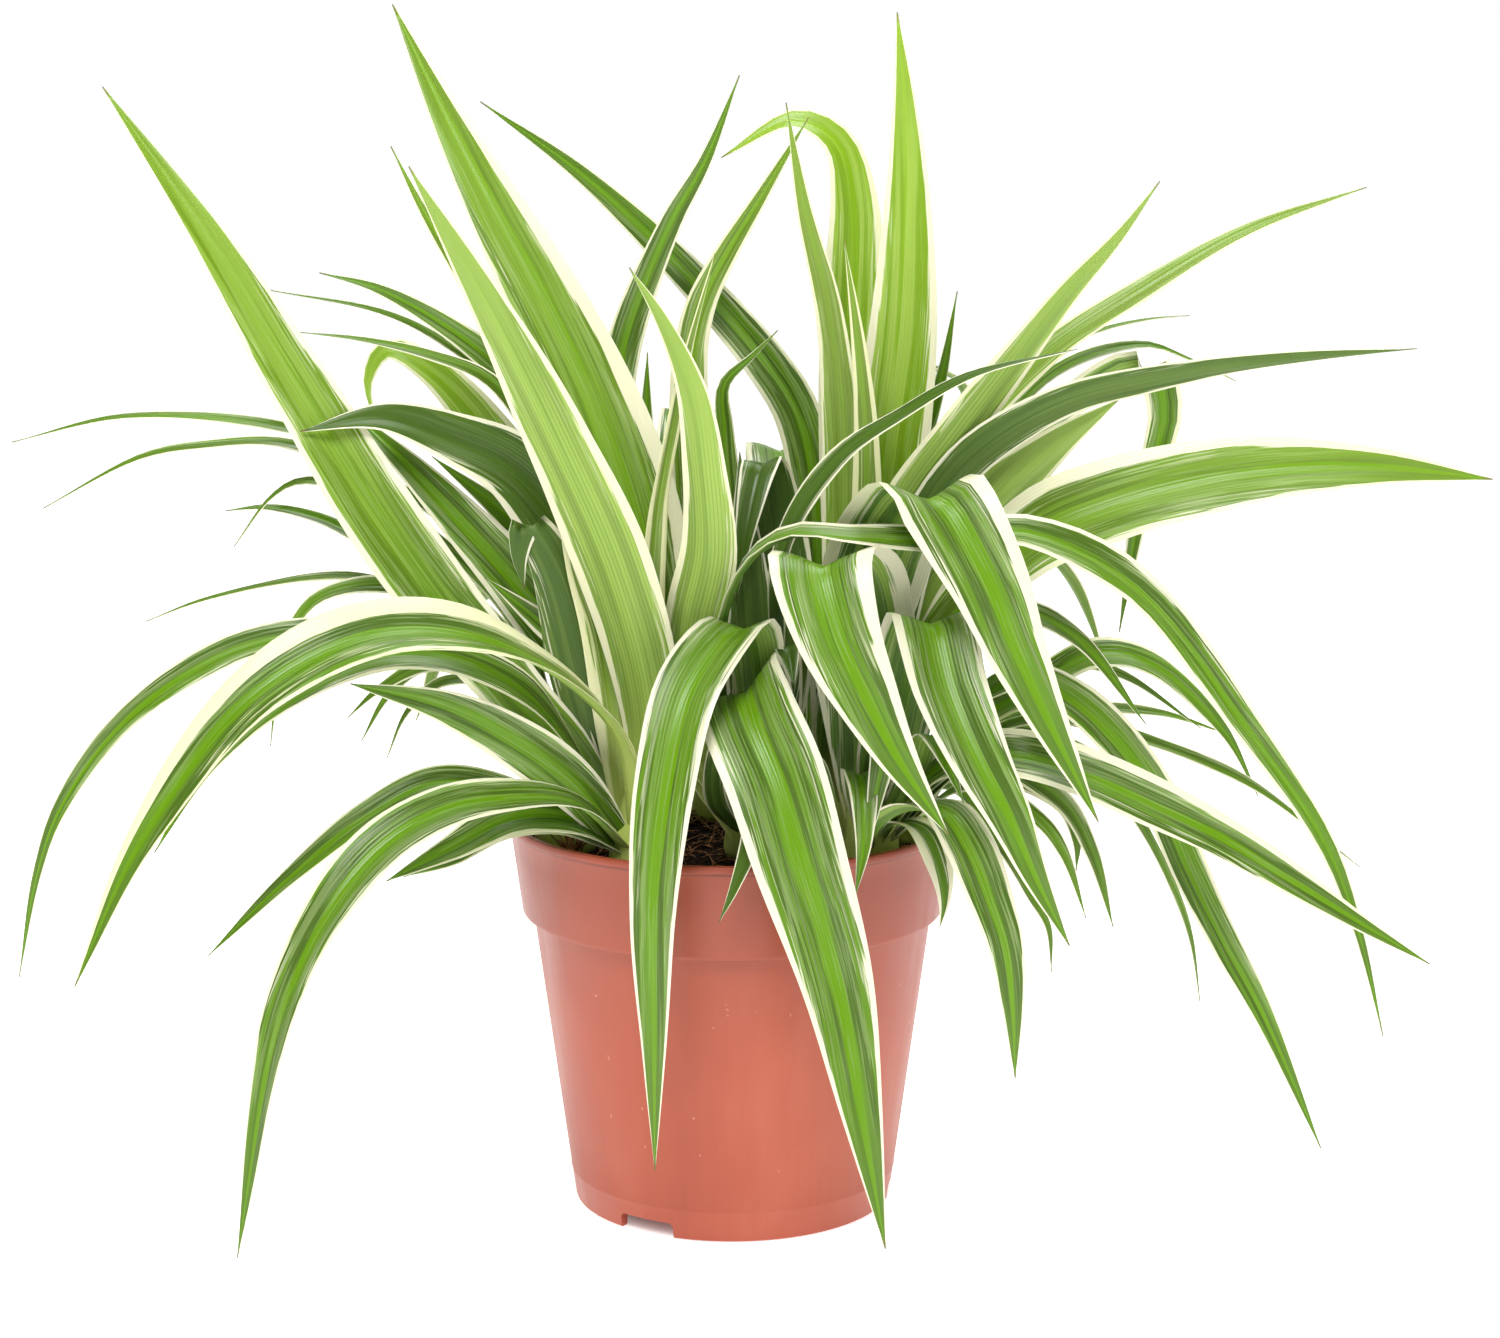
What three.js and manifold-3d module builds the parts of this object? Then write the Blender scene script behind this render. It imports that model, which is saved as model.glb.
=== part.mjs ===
// Potted spider plant: a round nursery pot, its soil, a tuft of bare roots and nine leafy shoots.
// Millimetres, +Z up. The origin is the middle of the pot's foot, on the surface it stands on.
import * as THREE from 'three';
import { mergeVertices } from 'three/addons/utils/BufferGeometryUtils.js';
import Module from 'manifold-3d';

const wasm = await Module();
wasm.setup();

// ---- driving dimensions -------------------------------------------------------------------

const gap = 0.3; // clearance between pieces that touch
const pot = {
  height: 105,
  rimRadius: 60,
  wall: 1.2,
  beadHeight: 1.8,
  beadProud: 0.7,
  collarHeight: 25.5,
  collarDraft: 2.9, // how much the collar narrows from rim to lower edge
  shoulder: 3, // step from the collar in to the body
  footRadius: 42.7,
  footWidth: 2.6,
  basePlate: 4.6, // height of the base plate's underside above the floor
  sides: 48,
};
const notch = { count: 3, firstAngle: -122, halfAngle: 11, height: 4.2, corner: 1.4 };
const soil = { level: 96.5, relief: 0.8, rings: 4, sides: 24, clearance: 0.45 };
const crown = { depth: 12, radius: 8.5, top: 26, sides: 10, leafRoot: 2, leafHeight: 4 };
const tuft = { at: [-41, -27], radius: 2.2, depth: 6, stub: 3, fibre: 0.7 };
const blade = { thickness: 0.8, channel: 0.09, rootShare: 0.26, tipWidth: 0.9, flatBelow: 10 };

// ---- mesh and solid helpers ---------------------------------------------------------------

// A closed three.js geometry as a manifold solid, its doubled vertices merged.
function solidOf(geometry) {
  const bare = geometry.clone();
  bare.deleteAttribute('normal');
  bare.deleteAttribute('uv');
  const merged = mergeVertices(bare, 1e-4);
  const vertProperties = new Float32Array(merged.attributes.position.array);
  const triVerts = new Uint32Array(merged.index.array);
  return new wasm.Manifold(new wasm.Mesh({ numProp: 3, vertProperties, triVerts }));
}

function geometryOf(solid) {
  const { vertProperties, triVerts } = solid.getMesh();
  const geometry = new THREE.BufferGeometry();
  geometry.setAttribute('position', new THREE.BufferAttribute(vertProperties, 3));
  geometry.setIndex(new THREE.BufferAttribute(triVerts, 1));
  geometry.computeVertexNormals();
  return geometry;
}

const joined = (solids) => solids.reduce((whole, piece) => whole.add(piece));

// A surface of revolution about +Z from [radius, height] pairs that close on the axis.
function turned(profile, sides) {
  const points = profile.map(([radius, height]) => new THREE.Vector2(radius, height));
  return new THREE.LatheGeometry(points, sides).rotateX(Math.PI / 2);
}

function material(color, roughness) {
  return new THREE.MeshStandardMaterial({ color, roughness, metalness: 0 });
}

const radians = THREE.MathUtils.degToRad;

// ---- pot ----------------------------------------------------------------------------------

const collarBottom = pot.height - pot.collarHeight;
const collarRadius = pot.rimRadius - pot.beadProud;
const collarFoot = collarRadius - pot.collarDraft;
const bodyTop = collarFoot - pot.shoulder;

// Radius of the pot's inner face at a height, on the tapering body or in the collar.
function potInside(height) {
  const floorRadius = pot.footRadius - pot.wall;
  if (height <= collarBottom) {
    return floorRadius + ((bodyTop - pot.wall - floorRadius) * height) / collarBottom;
  }
  const share = (height - collarBottom - pot.wall) / (pot.collarHeight - pot.wall);
  return collarFoot - pot.wall + pot.collarDraft * Math.max(share, 0);
}

function potShell() {
  const innerFloor = pot.basePlate + pot.wall;
  const footInner = pot.footRadius - pot.footWidth;
  const profile = [
    [0, pot.basePlate],
    [footInner, pot.basePlate],
    [footInner, 0],    [pot.footRadius, 0],
[bodyTop, collarBottom - 0.4],
    [collarFoot - 0.9, collarBottom],
    [collarFoot, collarBottom + 1.1],
    [collarRadius, pot.height - pot.beadHeight - 0.3],
    [pot.rimRadius, pot.height - pot.beadHeight],
    [pot.rimRadius, pot.height - 0.5],
    [pot.rimRadius - 0.5, pot.height],
    [collarRadius - pot.wall, pot.height],
    [potInside(collarBottom + 2 * pot.wall), collarBottom + 2 * pot.wall],
    [potInside(collarBottom), collarBottom],
    [potInside(innerFloor), innerFloor],
    [0, innerFloor],
  ];
  return solidOf(turned(profile, pot.sides));
}

// The block that cuts one drainage notch through the foot ring, its two upper corners rounded.
function notchCutter(index) {
  const half = pot.footRadius * Math.sin(radians(notch.halfAngle));
  const arch = new THREE.Shape();
  const [cornerX, cornerZ] = [half - notch.corner, notch.height - notch.corner];
  arch.moveTo(-half, -1);
  arch.lineTo(half, -1);
  arch.lineTo(half, cornerZ);
  arch.absarc(cornerX, cornerZ, notch.corner, 0, Math.PI / 2);
  arch.absarc(-cornerX, cornerZ, notch.corner, Math.PI / 2, Math.PI);
  arch.closePath();
  const depth = 3 * pot.footWidth;
  const block = new THREE.ExtrudeGeometry(arch, { depth, bevelEnabled: false, curveSegments: 2 });
  const angle = radians(notch.firstAngle + (360 / notch.count) * index);
  block.translate(0, 0, pot.footRadius - 2 * pot.footWidth);
  block.rotateX(Math.PI / 2);
  block.rotateZ(angle - radians(270));
  return solidOf(block);
}

function nurseryPot() {
  let shell = potShell();
  for (let index = 0; index < notch.count; index++) {
    shell = shell.subtract(notchCutter(index));
  }
  return geometryOf(shell);
}

// ---- soil ---------------------------------------------------------------------------------

// The heaped, crumbly top of the soil, as a height over the plan.
function soilTop(x, y) {
  const swell = Math.sin(x / 7 + 1) * Math.cos(y / 6) + 0.6 * Math.sin((x - y) / 4);
  return soil.level + soil.relief * swell;
}

// The fill of the pot, with a plain blind hole for each crown and one for the root tuft.
function pottingSoil(holes) {
  const bottom = pot.basePlate + pot.wall + gap;
  const kink = collarBottom + 2 * pot.wall;
  const outline = [bottom, collarBottom, kink, soil.level];
  const lift = [0, gap, gap, 0]; // keeps the fill off the step in the pot's wall
  const topRadius = potInside(soil.level) - soil.clearance;
  const profile = [[0, bottom]];
  outline.forEach((height, index) => {
    profile.push([potInside(height) - soil.clearance, height + lift[index]]);
  });
  for (let ring = soil.rings - 1; ring >= 0; ring--) {
    profile.push([topRadius * (ring / soil.rings), soil.level]);
  }
  const fill = turned(profile, soil.sides);
  const place = fill.attributes.position;
  for (let i = 0; i < place.count; i++) {
    const radius = Math.hypot(place.getX(i), place.getY(i));
    if (place.getZ(i) > soil.level - 0.01 && radius < topRadius - 1) {
      place.setZ(i, soilTop(place.getX(i), place.getY(i)));
    }
  }
  let body = solidOf(fill);
  for (const { at, radius, depth } of holes) {
    const bore = new THREE.CylinderGeometry(radius + gap, radius + gap, 2 * depth, crown.sides);
    bore.rotateX(Math.PI / 2).translate(at[0], at[1], soil.level - gap);
    body = body.subtract(solidOf(bore));
  }
  return geometryOf(body);
}

// ---- root tuft ----------------------------------------------------------------------------

// Bare brown roots that stand out of the soil and bend over, grown from one knot.
function rootTuft() {
  const [x, y] = tuft.at;
  const base = soil.level - tuft.depth;
  const tall = tuft.depth + tuft.stub;
  const knot = new THREE.CylinderGeometry(tuft.radius * 0.8, tuft.radius, tall, 8);
  knot.rotateX(Math.PI / 2).translate(x, y, base + tall / 2);
  const bends = [
    [[0, 0, 6], [-2, 1, 14], [-3, 3, 21]],
    [[0, 0, 6], [2, -1, 13], [5, -2, 17]],
    [[0, 0, 6], [-3, -1, 11], [-5, -4, 13]],
    [[0, 0, 6], [1, 2, 15], [0, 5, 24]],
    [[0, 0, 6], [-3, 2, 12], [-6, 5, 15]],
  ];
  const fibres = bends.map((bend) => {
    const points = bend.map(([dx, dy, dz]) => new THREE.Vector3(x + dx, y + dy, base + dz));
    const path = new THREE.CatmullRomCurve3(points);
    const ring = new THREE.Shape().absarc(0, 0, tuft.fibre, 0, 2 * Math.PI);
    const settings = { steps: 3, curveSegments: 2, bevelEnabled: false, extrudePath: path };
    return solidOf(new THREE.ExtrudeGeometry(ring, settings));
  });
  return geometryOf(joined([solidOf(knot), ...fibres]));
}

// ---- leaves -------------------------------------------------------------------------------

// How wide a blade is along its length, as a share of its full width.
function widthShare(along, widest) {
  if (along < widest) {
    return blade.rootShare + (1 - blade.rootShare) * Math.sin((Math.PI / 2) * (along / widest));
  }
  return 1 - ((along - widest) / (1 - widest)) ** 1.6;
}

// The direction across a blade at a place along it, blended between the ones that its row gives.
function acrossAt(hints, along) {
  const place = along * (hints.length - 1);
  const first = Math.min(Math.floor(place), hints.length - 2);
  if (hints.length === 1) {
    return new THREE.Vector3(...hints[0]).normalize();
  }
  const from = new THREE.Vector3(...hints[first]).normalize();
  const to = new THREE.Vector3(...hints[first + 1]).normalize();
  return from.lerp(to, place - first).normalize();
}

// Where a leaf begins inside its crown: off the middle, on the way to the leaf's first point.
function leafRoot([x, y], [nextX, nextY]) {
  const heading = Math.atan2(nextY - y, nextX - x);
  const reach = crown.leafRoot;
  return [x + reach * Math.cos(heading), y + reach * Math.sin(heading), soil.level + crown.leafHeight];
}

// One strap-shaped leaf: a thin blade that follows its midrib from root to tip. A broad one is
// channelled along the middle, so each face has three points at a station; a narrow one has two.
function leafGeometry({ path, width, across, widest = 0.42, steps = 9 }, root) {
  const stations = [root, ...path].map((point) => new THREE.Vector3(...point));
  const midrib = new THREE.CatmullRomCurve3(stations, false, 'centripetal');
  midrib.arcLengthDivisions = 400;
  const edges = width < blade.flatBelow ? [-1, 1] : [-1, 0, 1];
  const points = [];
  for (let i = 0; i <= steps; i++) {
    const along = i / steps;
    const middle = midrib.getPointAt(along);
    const tangent = midrib.getTangentAt(along);
    const side = acrossAt(across, along).projectOnPlane(tangent).normalize();
    const up = new THREE.Vector3().crossVectors(tangent, side);
    const half = Math.max((width / 2) * widthShare(along, widest), blade.tipWidth / 2);
    for (const face of [1, -1]) {
      for (const edge of edges.map((share) => face * share)) {
        const curl = edge === 0 ? -2 * half * blade.channel : 2 * half * blade.channel;
        const height = (face * blade.thickness) / 2 + curl;
        points.push(middle.clone().addScaledVector(side, edge * half).addScaledVector(up, height));
      }
    }
  }
  return new THREE.BufferGeometry().setFromPoints(points).setIndex(bladeFaces(steps, edges.length));
}

// Triangles round a blade, cut alike on both faces, with both ends closed. Round a station the
// points run across the upper face, then back across the lower one.
function bladeFaces(steps, columns) {
  const round = 2 * columns;
  const faces = [];
  for (let station = 0; station < steps; station++) {
    for (let point = 0; point < round; point++) {
      const a = station * round + point;
      const b = station * round + ((point + 1) % round);
      const [c, d] = [b + round, a + round];
      const lower = point >= columns && point < round - 1;
      faces.push(...(lower ? [a, d, b, b, d, c] : [a, c, b, a, d, c]));
    }
  }
  const last = steps * round;
  for (let point = 0; point < columns - 1; point++) {
    const [upper, lower] = [point, round - 1 - point];
    faces.push(upper, upper + 1, lower, upper + 1, lower - 1, lower);
    faces.push(last + upper, last + lower, last + upper + 1);
    faces.push(last + upper + 1, last + lower, last + lower - 1);
  }
  return faces;
}

// The short pale stem that a shoot's leaves grow from, standing in its hole in the soil.
function crownStem([x, y]) {
  const bottom = soil.level - crown.depth;
  const profile = [
    [0, 0],
    [crown.radius * 0.8, 0],
    [crown.radius, crown.depth],
    [crown.radius * 0.85, crown.depth + crown.top * 0.5],
    [crown.radius * 0.35, crown.depth + crown.top],
    [0, crown.depth + crown.top + 1],
  ];
  return solidOf(turned(profile, crown.sides).translate(x, y, bottom));
}

// A leafy shoot, one grown piece: its crown with every leaf joined to it.
function leafyShoot({ at, leaves }) {
  const blades = leaves.map((leaf) => solidOf(leafGeometry(leaf, leafRoot(at, leaf.path[0]))));
  return geometryOf(joined([crownStem(at), ...blades]));
}

// ---- the nine shoots ----------------------------------------------------------------------
// Each leaf: the points its midrib passes through, root first; its full width; and the way
// across it, as one to three directions from root to tip that point to its right-hand edge.

const frontLeft = {
  at: [-24, -30],
  leaves: [
    { width: 20, across: [[-4, -2, -3]], steps: 9,
      path: [[-42, -28, 128], [-57, -26, 144], [-86, -18, 180], [-112, -8, 220],
        [-137, 0, 260], [-163, 8, 296]] },
    { width: 20, across: [[9, -2, 4]], steps: 9,
      path: [[-21, -36, 139], [-29, -41, 175], [-44, -47, 212], [-60, -50, 245],
        [-78, -52, 278]] },
    { width: 11, across: [[-4, 0, -1]],
      path: [[-33, -30, 157], [-39, -31, 178], [-45, -32, 205]] },
    { width: 24, across: [[-6, -1, -4], [-5, -2, -7], [0, -4, -5]], steps: 10,
      path: [[-34, -14, 158], [-43, -10, 182], [-56, -7, 198], [-72, -7, 206],
        [-90, -10, 212], [-111, -15, 209]] },
    { width: 20, across: [[4, -2, -1], [5, 0, 0], [5, 0, 0]],
      path: [[-36, -25, 142], [-45, -28, 176], [-52, -30, 187], [-54, -28, 179],
        [-53, -27, 170]] },
    { width: 17, across: [[-7, -3, -7]],
      path: [[-34, -13, 138], [-53, -6, 164], [-71, -2, 184], [-87, 2, 200],
        [-103, 8, 214]] },
    { width: 12, across: [[-6, -3, -8]], steps: 6,
      path: [[-36, -20, 148], [-50, -17, 160], [-64, -15, 171]] },
    { width: 19, across: [[2, -5, 0], [3, -4, -4], [5, -3, -6]], steps: 12,
      path: [[-30, -45, 138], [-57, -60, 162], [-85, -71, 167], [-114, -81, 154],
        [-141, -89, 120], [-158, -94, 84]] },
    { width: 11, across: [[1, -5, -5], [4, -2, -6]],
      path: [[-53, -43, 147], [-83, -51, 158], [-109, -58, 149], [-128, -62, 133],
        [-143, -65, 110]] },
    { width: 14, across: [[-5, -1, -8]],
      path: [[-40, -43, 122], [-53, -49, 134], [-71, -55, 145], [-94, -61, 152]] },
    { width: 14, across: [[3, -5, -2], [3, -4, -4], [6, -3, -2]], steps: 12,
      path: [[-39, -49, 119], [-56, -60, 123], [-71, -70, 122], [-85, -78, 115],
        [-98, -86, 100], [-109, -92, 76], [-120, -99, 17]] },
    { width: 9, across: [[1, -5, -4], [3, -3, -6]],
      path: [[-43, -33, 112], [-58, -38, 120], [-76, -44, 123], [-93, -49, 115],
        [-111, -53, 101], [-132, -56, 81]] },
    { width: 8, across: [[1, -4, -3], [1, -4, -5]],
      path: [[-44, -36, 110], [-57, -42, 111], [-70, -47, 104], [-83, -50, 100]] },
    { width: 12, across: [[1, -4, -3], [1, -3, -5]],
      path: [[-42, -43, 114], [-56, -49, 115], [-70, -56, 109], [-86, -62, 102]] },
  ],
};

const frontMiddle = {
  at: [6, -14],
  leaves: [
    { width: 17, across: [[5, -1, 0]], steps: 12,
      path: [[7, -26, 140], [3, -41, 163], [-10, -57, 151], [-16, -67, 128],
        [-19, -73, 98], [-19, -75, 62], [-19, -75, 31]] },
    { width: 25, across: [[5, 1, 2], [5, 1, 4], [5, 0, 1], [5, 0, 0], [5, 0, 0]], steps: 13,
      path: [[9, -25, 132], [7, -36, 144], [3, -47, 148], [5, -57, 142], [11, -66, 129],
        [17, -73, 110], [26, -79, 81], [32, -86, 50], [38, -90, 16]] },
    { width: 9, across: [[5, -1, 0]],
      path: [[7, -36, 121], [7, -52, 125], [6, -62, 116], [1, -67, 102], [-3, -68, 93]] },
    { width: 6, across: [[5, -1, 0]], steps: 5,
      path: [[-4, -28, 114], [-4, -36, 130], [0, -38, 146]] },
    { width: 16, across: [[9, -3, 0]], steps: 9,
      path: [[-11, -27, 140], [-10, -33, 161], [-6, -42, 182], [-7, -46, 203],
        [-10, -47, 223], [-17, -46, 240], [-25, -44, 253]] },
    { width: 7, across: [[-4, -3, 0]],
      path: [[-17, -26, 138], [-20, -30, 165], [-19, -33, 189], [-15, -35, 212],
        [-10, -36, 235], [-4, -36, 256]] },
    { width: 25, across: [[-6, -1, -3]], steps: 10,
      path: [[-15, -24, 143], [-21, -25, 167], [-25, -22, 187], [-34, -16, 213],
        [-48, -8, 242], [-62, -1, 267], [-75, 6, 291], [-88, 13, 317]] },
    { width: 16, across: [[5, 0, 0]], steps: 10,
      path: [[14, 0, 150], [12, 3, 185], [8, -5, 200], [4, -13, 186], [1, -17, 165]] },
    { width: 8, across: [[-3, 2, 3], [-2, 3, 3], [0, 4, 2]], steps: 9,
      path: [[12, -17, 145], [14, -34, 184], [27, -38, 205], [42, -41, 216],
        [59, -43, 226], [86, -44, 233]] },
    { width: 13, across: [[1, 5, 0], [1, 5, 1], [2, 2, 3], [4, 1, 3]], steps: 16,
      path: [[-3, -32, 152], [3, -42, 178], [14, -47, 187], [30, -51, 187],
        [50, -52, 186], [72, -50, 188], [100, -51, 175], [129, -53, 139], [149, -55, 110],
        [158, -56, 87], [165, -57, 60]] },
    { width: 7, across: [[5, -1, 0]], steps: 5,
      path: [[13, -24, 119], [21, -32, 126], [27, -40, 117]] },
    { width: 18, across: [[5, -1, 0]], steps: 7,
      path: [[9, -18, 132], [12, -25, 150], [14, -32, 156], [16, -39, 147]] },
    { width: 15, across: [[5, 0, 0]], steps: 6,
      path: [[6, -9, 140], [4, -5, 172], [2, -1, 202]] },
  ],
};

const right = {
  at: [27, 6],
  leaves: [
    { width: 22, across: [[-5, 0, 0]], steps: 9,
      path: [[36, 10, 150], [41, 10, 199], [45, 12, 233], [46, 14, 269], [45, 15, 293],
        [43, 16, 315]] },
    { width: 11, across: [[-5, 0, 0]],
      path: [[29, 1, 150], [29, 1, 189], [28, 2, 215], [25, 4, 240], [19, 5, 264],
        [14, 6, 292]] },
    { width: 17, across: [[-5, 0, 0], [-5, 0, 0], [-5, -1, -1], [0, -3, -4]], widest: 0.62,
      steps: 13, path: [[31, 17, 150], [31, 20, 213], [32, 24, 245], [32, 27, 266],
        [28, 29, 281], [17, 30, 287], [-3, 30, 277]] },
    { width: 9, across: [[-5, 0, 0]],
      path: [[34, -5, 150], [35, -5, 205], [33, -4, 229], [29, -3, 257]] },
    { width: 14, across: [[7, 2, -6]], steps: 9,
      path: [[37, -10, 158], [45, -12, 188], [59, -14, 209], [74, -15, 229], [86, -17, 245],
        [98, -19, 259], [108, -20, 273]] },
    { width: 11, across: [[-2, 5, 2], [-4, 5, 8]], steps: 9,
      path: [[46, 15, 155], [60, 9, 201], [83, 8, 227], [107, 9, 243], [135, 11, 259],
        [166, 12, 270]] },
    { width: 9, across: [[-1, 5, 3]],
      path: [[55, 26, 171], [84, 21, 219], [109, 20, 228], [122, 22, 224],
        [135, 23, 218]] },
    { width: 15, across: [[0, 5, 0], [1, 4, 0], [5, 1, 0], [5, 0, 0]], steps: 13,
      path: [[58, 12, 176], [91, 10, 214], [110, 10, 223], [114, 9, 212], [112, 8, 201],
        [108, 7, 186], [103, 5, 153]] },
    { width: 13, across: [[5, 2, -5], [5, 2, -7], [0, 3, -5]], widest: 0.3, steps: 10,
      path: [[41, -6, 150], [48, -12, 180], [59, -15, 199], [72, -17, 210], [88, -18, 218],
        [104, -19, 222], [124, -20, 226], [148, -21, 229], [174, -22, 231]] },
    { width: 27, across: [[5, 2, -5], [5, 2, -7]], steps: 8,
      path: [[43, -1, 150], [55, -5, 174], [69, -8, 191], [84, -10, 205], [100, -11, 217]] },
    { width: 24, across: [[-2, 4, 3], [-1, 3, 8]], widest: 0.52, steps: 10,
      path: [[49, -4, 144], [64, -10, 167], [80, -16, 183], [95, -18, 190],
        [115, -20, 196], [138, -22, 200], [165, -24, 201], [194, -25, 198]] },
    { width: 28, across: [[5, 1, 0], [5, 0, 0], [9, 1, 4]], steps: 12,
      path: [[34, -20, 160], [42, -40, 189], [50, -55, 198], [62, -64, 180],
        [70, -68, 161], [78, -71, 144], [90, -74, 120]] },
  ],
};

const frontRight = {
  at: [36, -24],
  leaves: [
    { width: 29, across: [[5, 1, 0], [5, 0, 0], [9, 1, 3]], steps: 12,
      path: [[34, -32, 152], [29, -44, 175], [22, -60, 182], [26, -69, 166],
        [33, -73, 151], [41, -76, 136], [53, -79, 118]] },
    { width: 21, across: [[5, 1, 0], [5, 0, 0], [9, 1, 3]], steps: 12,
      path: [[44, -34, 142], [48, -42, 161], [50, -51, 166], [54, -62, 151],
        [61, -71, 135], [68, -76, 122], [75, -78, 106], [83, -79, 90]] },
    { width: 13, across: [[-1, 5, 2], [3, 3, 3], [5, 1, 2]], steps: 11,
      path: [[58, -26, 135], [74, -30, 147], [87, -32, 142], [99, -35, 131],
        [109, -38, 117], [117, -40, 99], [126, -42, 81], [136, -44, 63], [152, -47, 27]] },
    { width: 15, across: [[0, 5, 3], [2, 3, 8]], steps: 10,
      path: [[54, -44, 128], [70, -52, 132], [88, -56, 128], [105, -59, 121],
        [122, -62, 113], [139, -64, 103], [157, -66, 92], [174, -67, 82]] },
    { width: 10, across: [[0, 5, 2], [5, 0, 2]],
      path: [[60, -27, 124], [76, -30, 121], [86, -31, 114], [89, -32, 105],
        [89, -32, 97]] },
    { width: 8, across: [[0, 5, 2], [5, 1, 2]],
      path: [[64, -34, 126], [84, -38, 117], [92, -39, 104], [98, -40, 84]] },
    { width: 6, across: [[1, 5, 2], [5, 1, 2]],
      path: [[62, -42, 122], [78, -47, 114], [84, -48, 106], [90, -49, 89]] },
    { width: 14, across: [[4, 4, 0], [5, 2, 0], [5, 0, 1]], steps: 11,
      path: [[37, -44, 112], [45, -53, 119], [53, -60, 119], [59, -64, 111],
        [64, -66, 99], [68, -68, 87], [70, -69, 72], [71, -69, 53]] },
    { width: 10, across: [[5, 2, 0]],
      path: [[42, -34, 110], [49, -42, 110], [53, -46, 101], [54, -47, 93],
        [53, -47, 86]] },
    { width: 5, across: [[1, 5, 1], [5, 1, 1]],
      path: [[56, -18, 116], [71, -20, 100], [78, -21, 88], [83, -21, 79],
        [84, -22, 67]] },
    { width: 10, across: [[5, 0, 0]],
      path: [[37, -44, 132], [38, -52, 140], [38, -57, 134], [36, -58, 123], [34, -59, 109]] },
    { width: 9, across: [[5, 1, 0], [5, 0, 1]],
      path: [[47, -40, 126], [50, -51, 137], [54, -57, 131], [58, -58, 121]] },
    { width: 9, across: [[5, 0, 0]],
      path: [[32, -46, 126], [33, -56, 124], [33, -62, 112], [31, -64, 99]] },
  ],
};

const farRight = {
  at: [46, 2],
  leaves: [
    { width: 10, across: [[-2, 4, 3], [2, 3, 5]],
      path: [[60, -2, 126], [80, -8, 141], [95, -11, 150], [109, -13, 148],
        [128, -15, 131], [138, -16, 113]] },
    { width: 9, across: [[-1, 5, 2], [4, 2, 4]],
      path: [[56, -20, 146], [73, -28, 164], [88, -31, 158], [106, -33, 136]] },
    { width: 5, across: [[0, 5, 2], [2, 3, 4]],
      path: [[64, 2, 132], [88, -2, 146], [103, -3, 143], [124, -5, 129]] },
    { width: 5, across: [[0, 5, 2], [1, 3, 4]],
      path: [[66, 10, 124], [95, 10, 131], [115, 10, 130], [134, 10, 124]] },
    { width: 5, across: [[0, 5, 2], [1, 3, 4]],
      path: [[64, -16, 128], [82, -21, 135], [100, -24, 132], [132, -26, 120],
        [163, -28, 97]] },
    { width: 5, across: [[0, 5, 2], [4, 2, 2]],
      path: [[70, -6, 128], [95, -8, 122], [108, -9, 104], [117, -10, 87],
        [122, -10, 73], [125, -10, 55]] },
  ],
};

const left = {
  at: [-44, -8],
  leaves: [
    { width: 9, across: [[1, -4, -4], [4, -2, -6]], steps: 11,
      path: [[-52, -18, 136], [-78, -24, 154], [-102, -30, 159], [-125, -32, 156],
        [-153, -36, 139], [-171, -38, 116], [-178, -38, 98], [-184, -38, 70]] },
    { width: 4, across: [[0, -5, 0], [0, -3, -5]],
      path: [[-60, 12, 152], [-94, 10, 166], [-111, 10, 167], [-141, 10, 161],
        [-157, 10, 155]] },
    { width: 6, across: [[0, -5, -2], [2, -3, -5], [5, -1, -2]], steps: 11,
      path: [[-60, 6, 150], [-86, 3, 165], [-100, 2, 166], [-111, 1, 162],
        [-118, 0, 151], [-121, 0, 138], [-123, 0, 123]] },
    { width: 8, across: [[0, -5, -2], [3, -3, -4]],
      path: [[-56, -4, 141], [-79, -10, 147], [-92, -11, 141], [-101, -11, 133]] },
    { width: 7, across: [[0, -5, -2], [3, -3, -4]],
      path: [[-60, 6, 140], [-80, 3, 145], [-91, 2, 137], [-99, 2, 124]] },
    { width: 5, across: [[0, -5, -2], [3, -3, -4]],
      path: [[-56, 10, 134], [-77, 8, 139], [-87, 8, 131], [-93, 8, 118]] },
    { width: 5, across: [[-2, -5, -2], [1, -3, -5]], steps: 9,
      path: [[-48, 17, 150], [-80, 18, 192], [-119, 18, 206], [-162, 20, 209],
        [-193, 20, 202]] },
    { width: 5, across: [[-2, -5, -2], [1, -3, -5]], steps: 9,
      path: [[-47, 15, 146], [-80, 15, 184], [-117, 14, 202], [-140, 14, 202],
        [-157, 14, 199], [-184, 14, 185]] },
    { width: 6, across: [[-2, -5, -2], [1, -3, -4]],
      path: [[-58, 22, 150], [-96, 24, 186], [-116, 24, 191], [-124, 24, 187],
        [-135, 24, 173]] },
  ],
};

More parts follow.
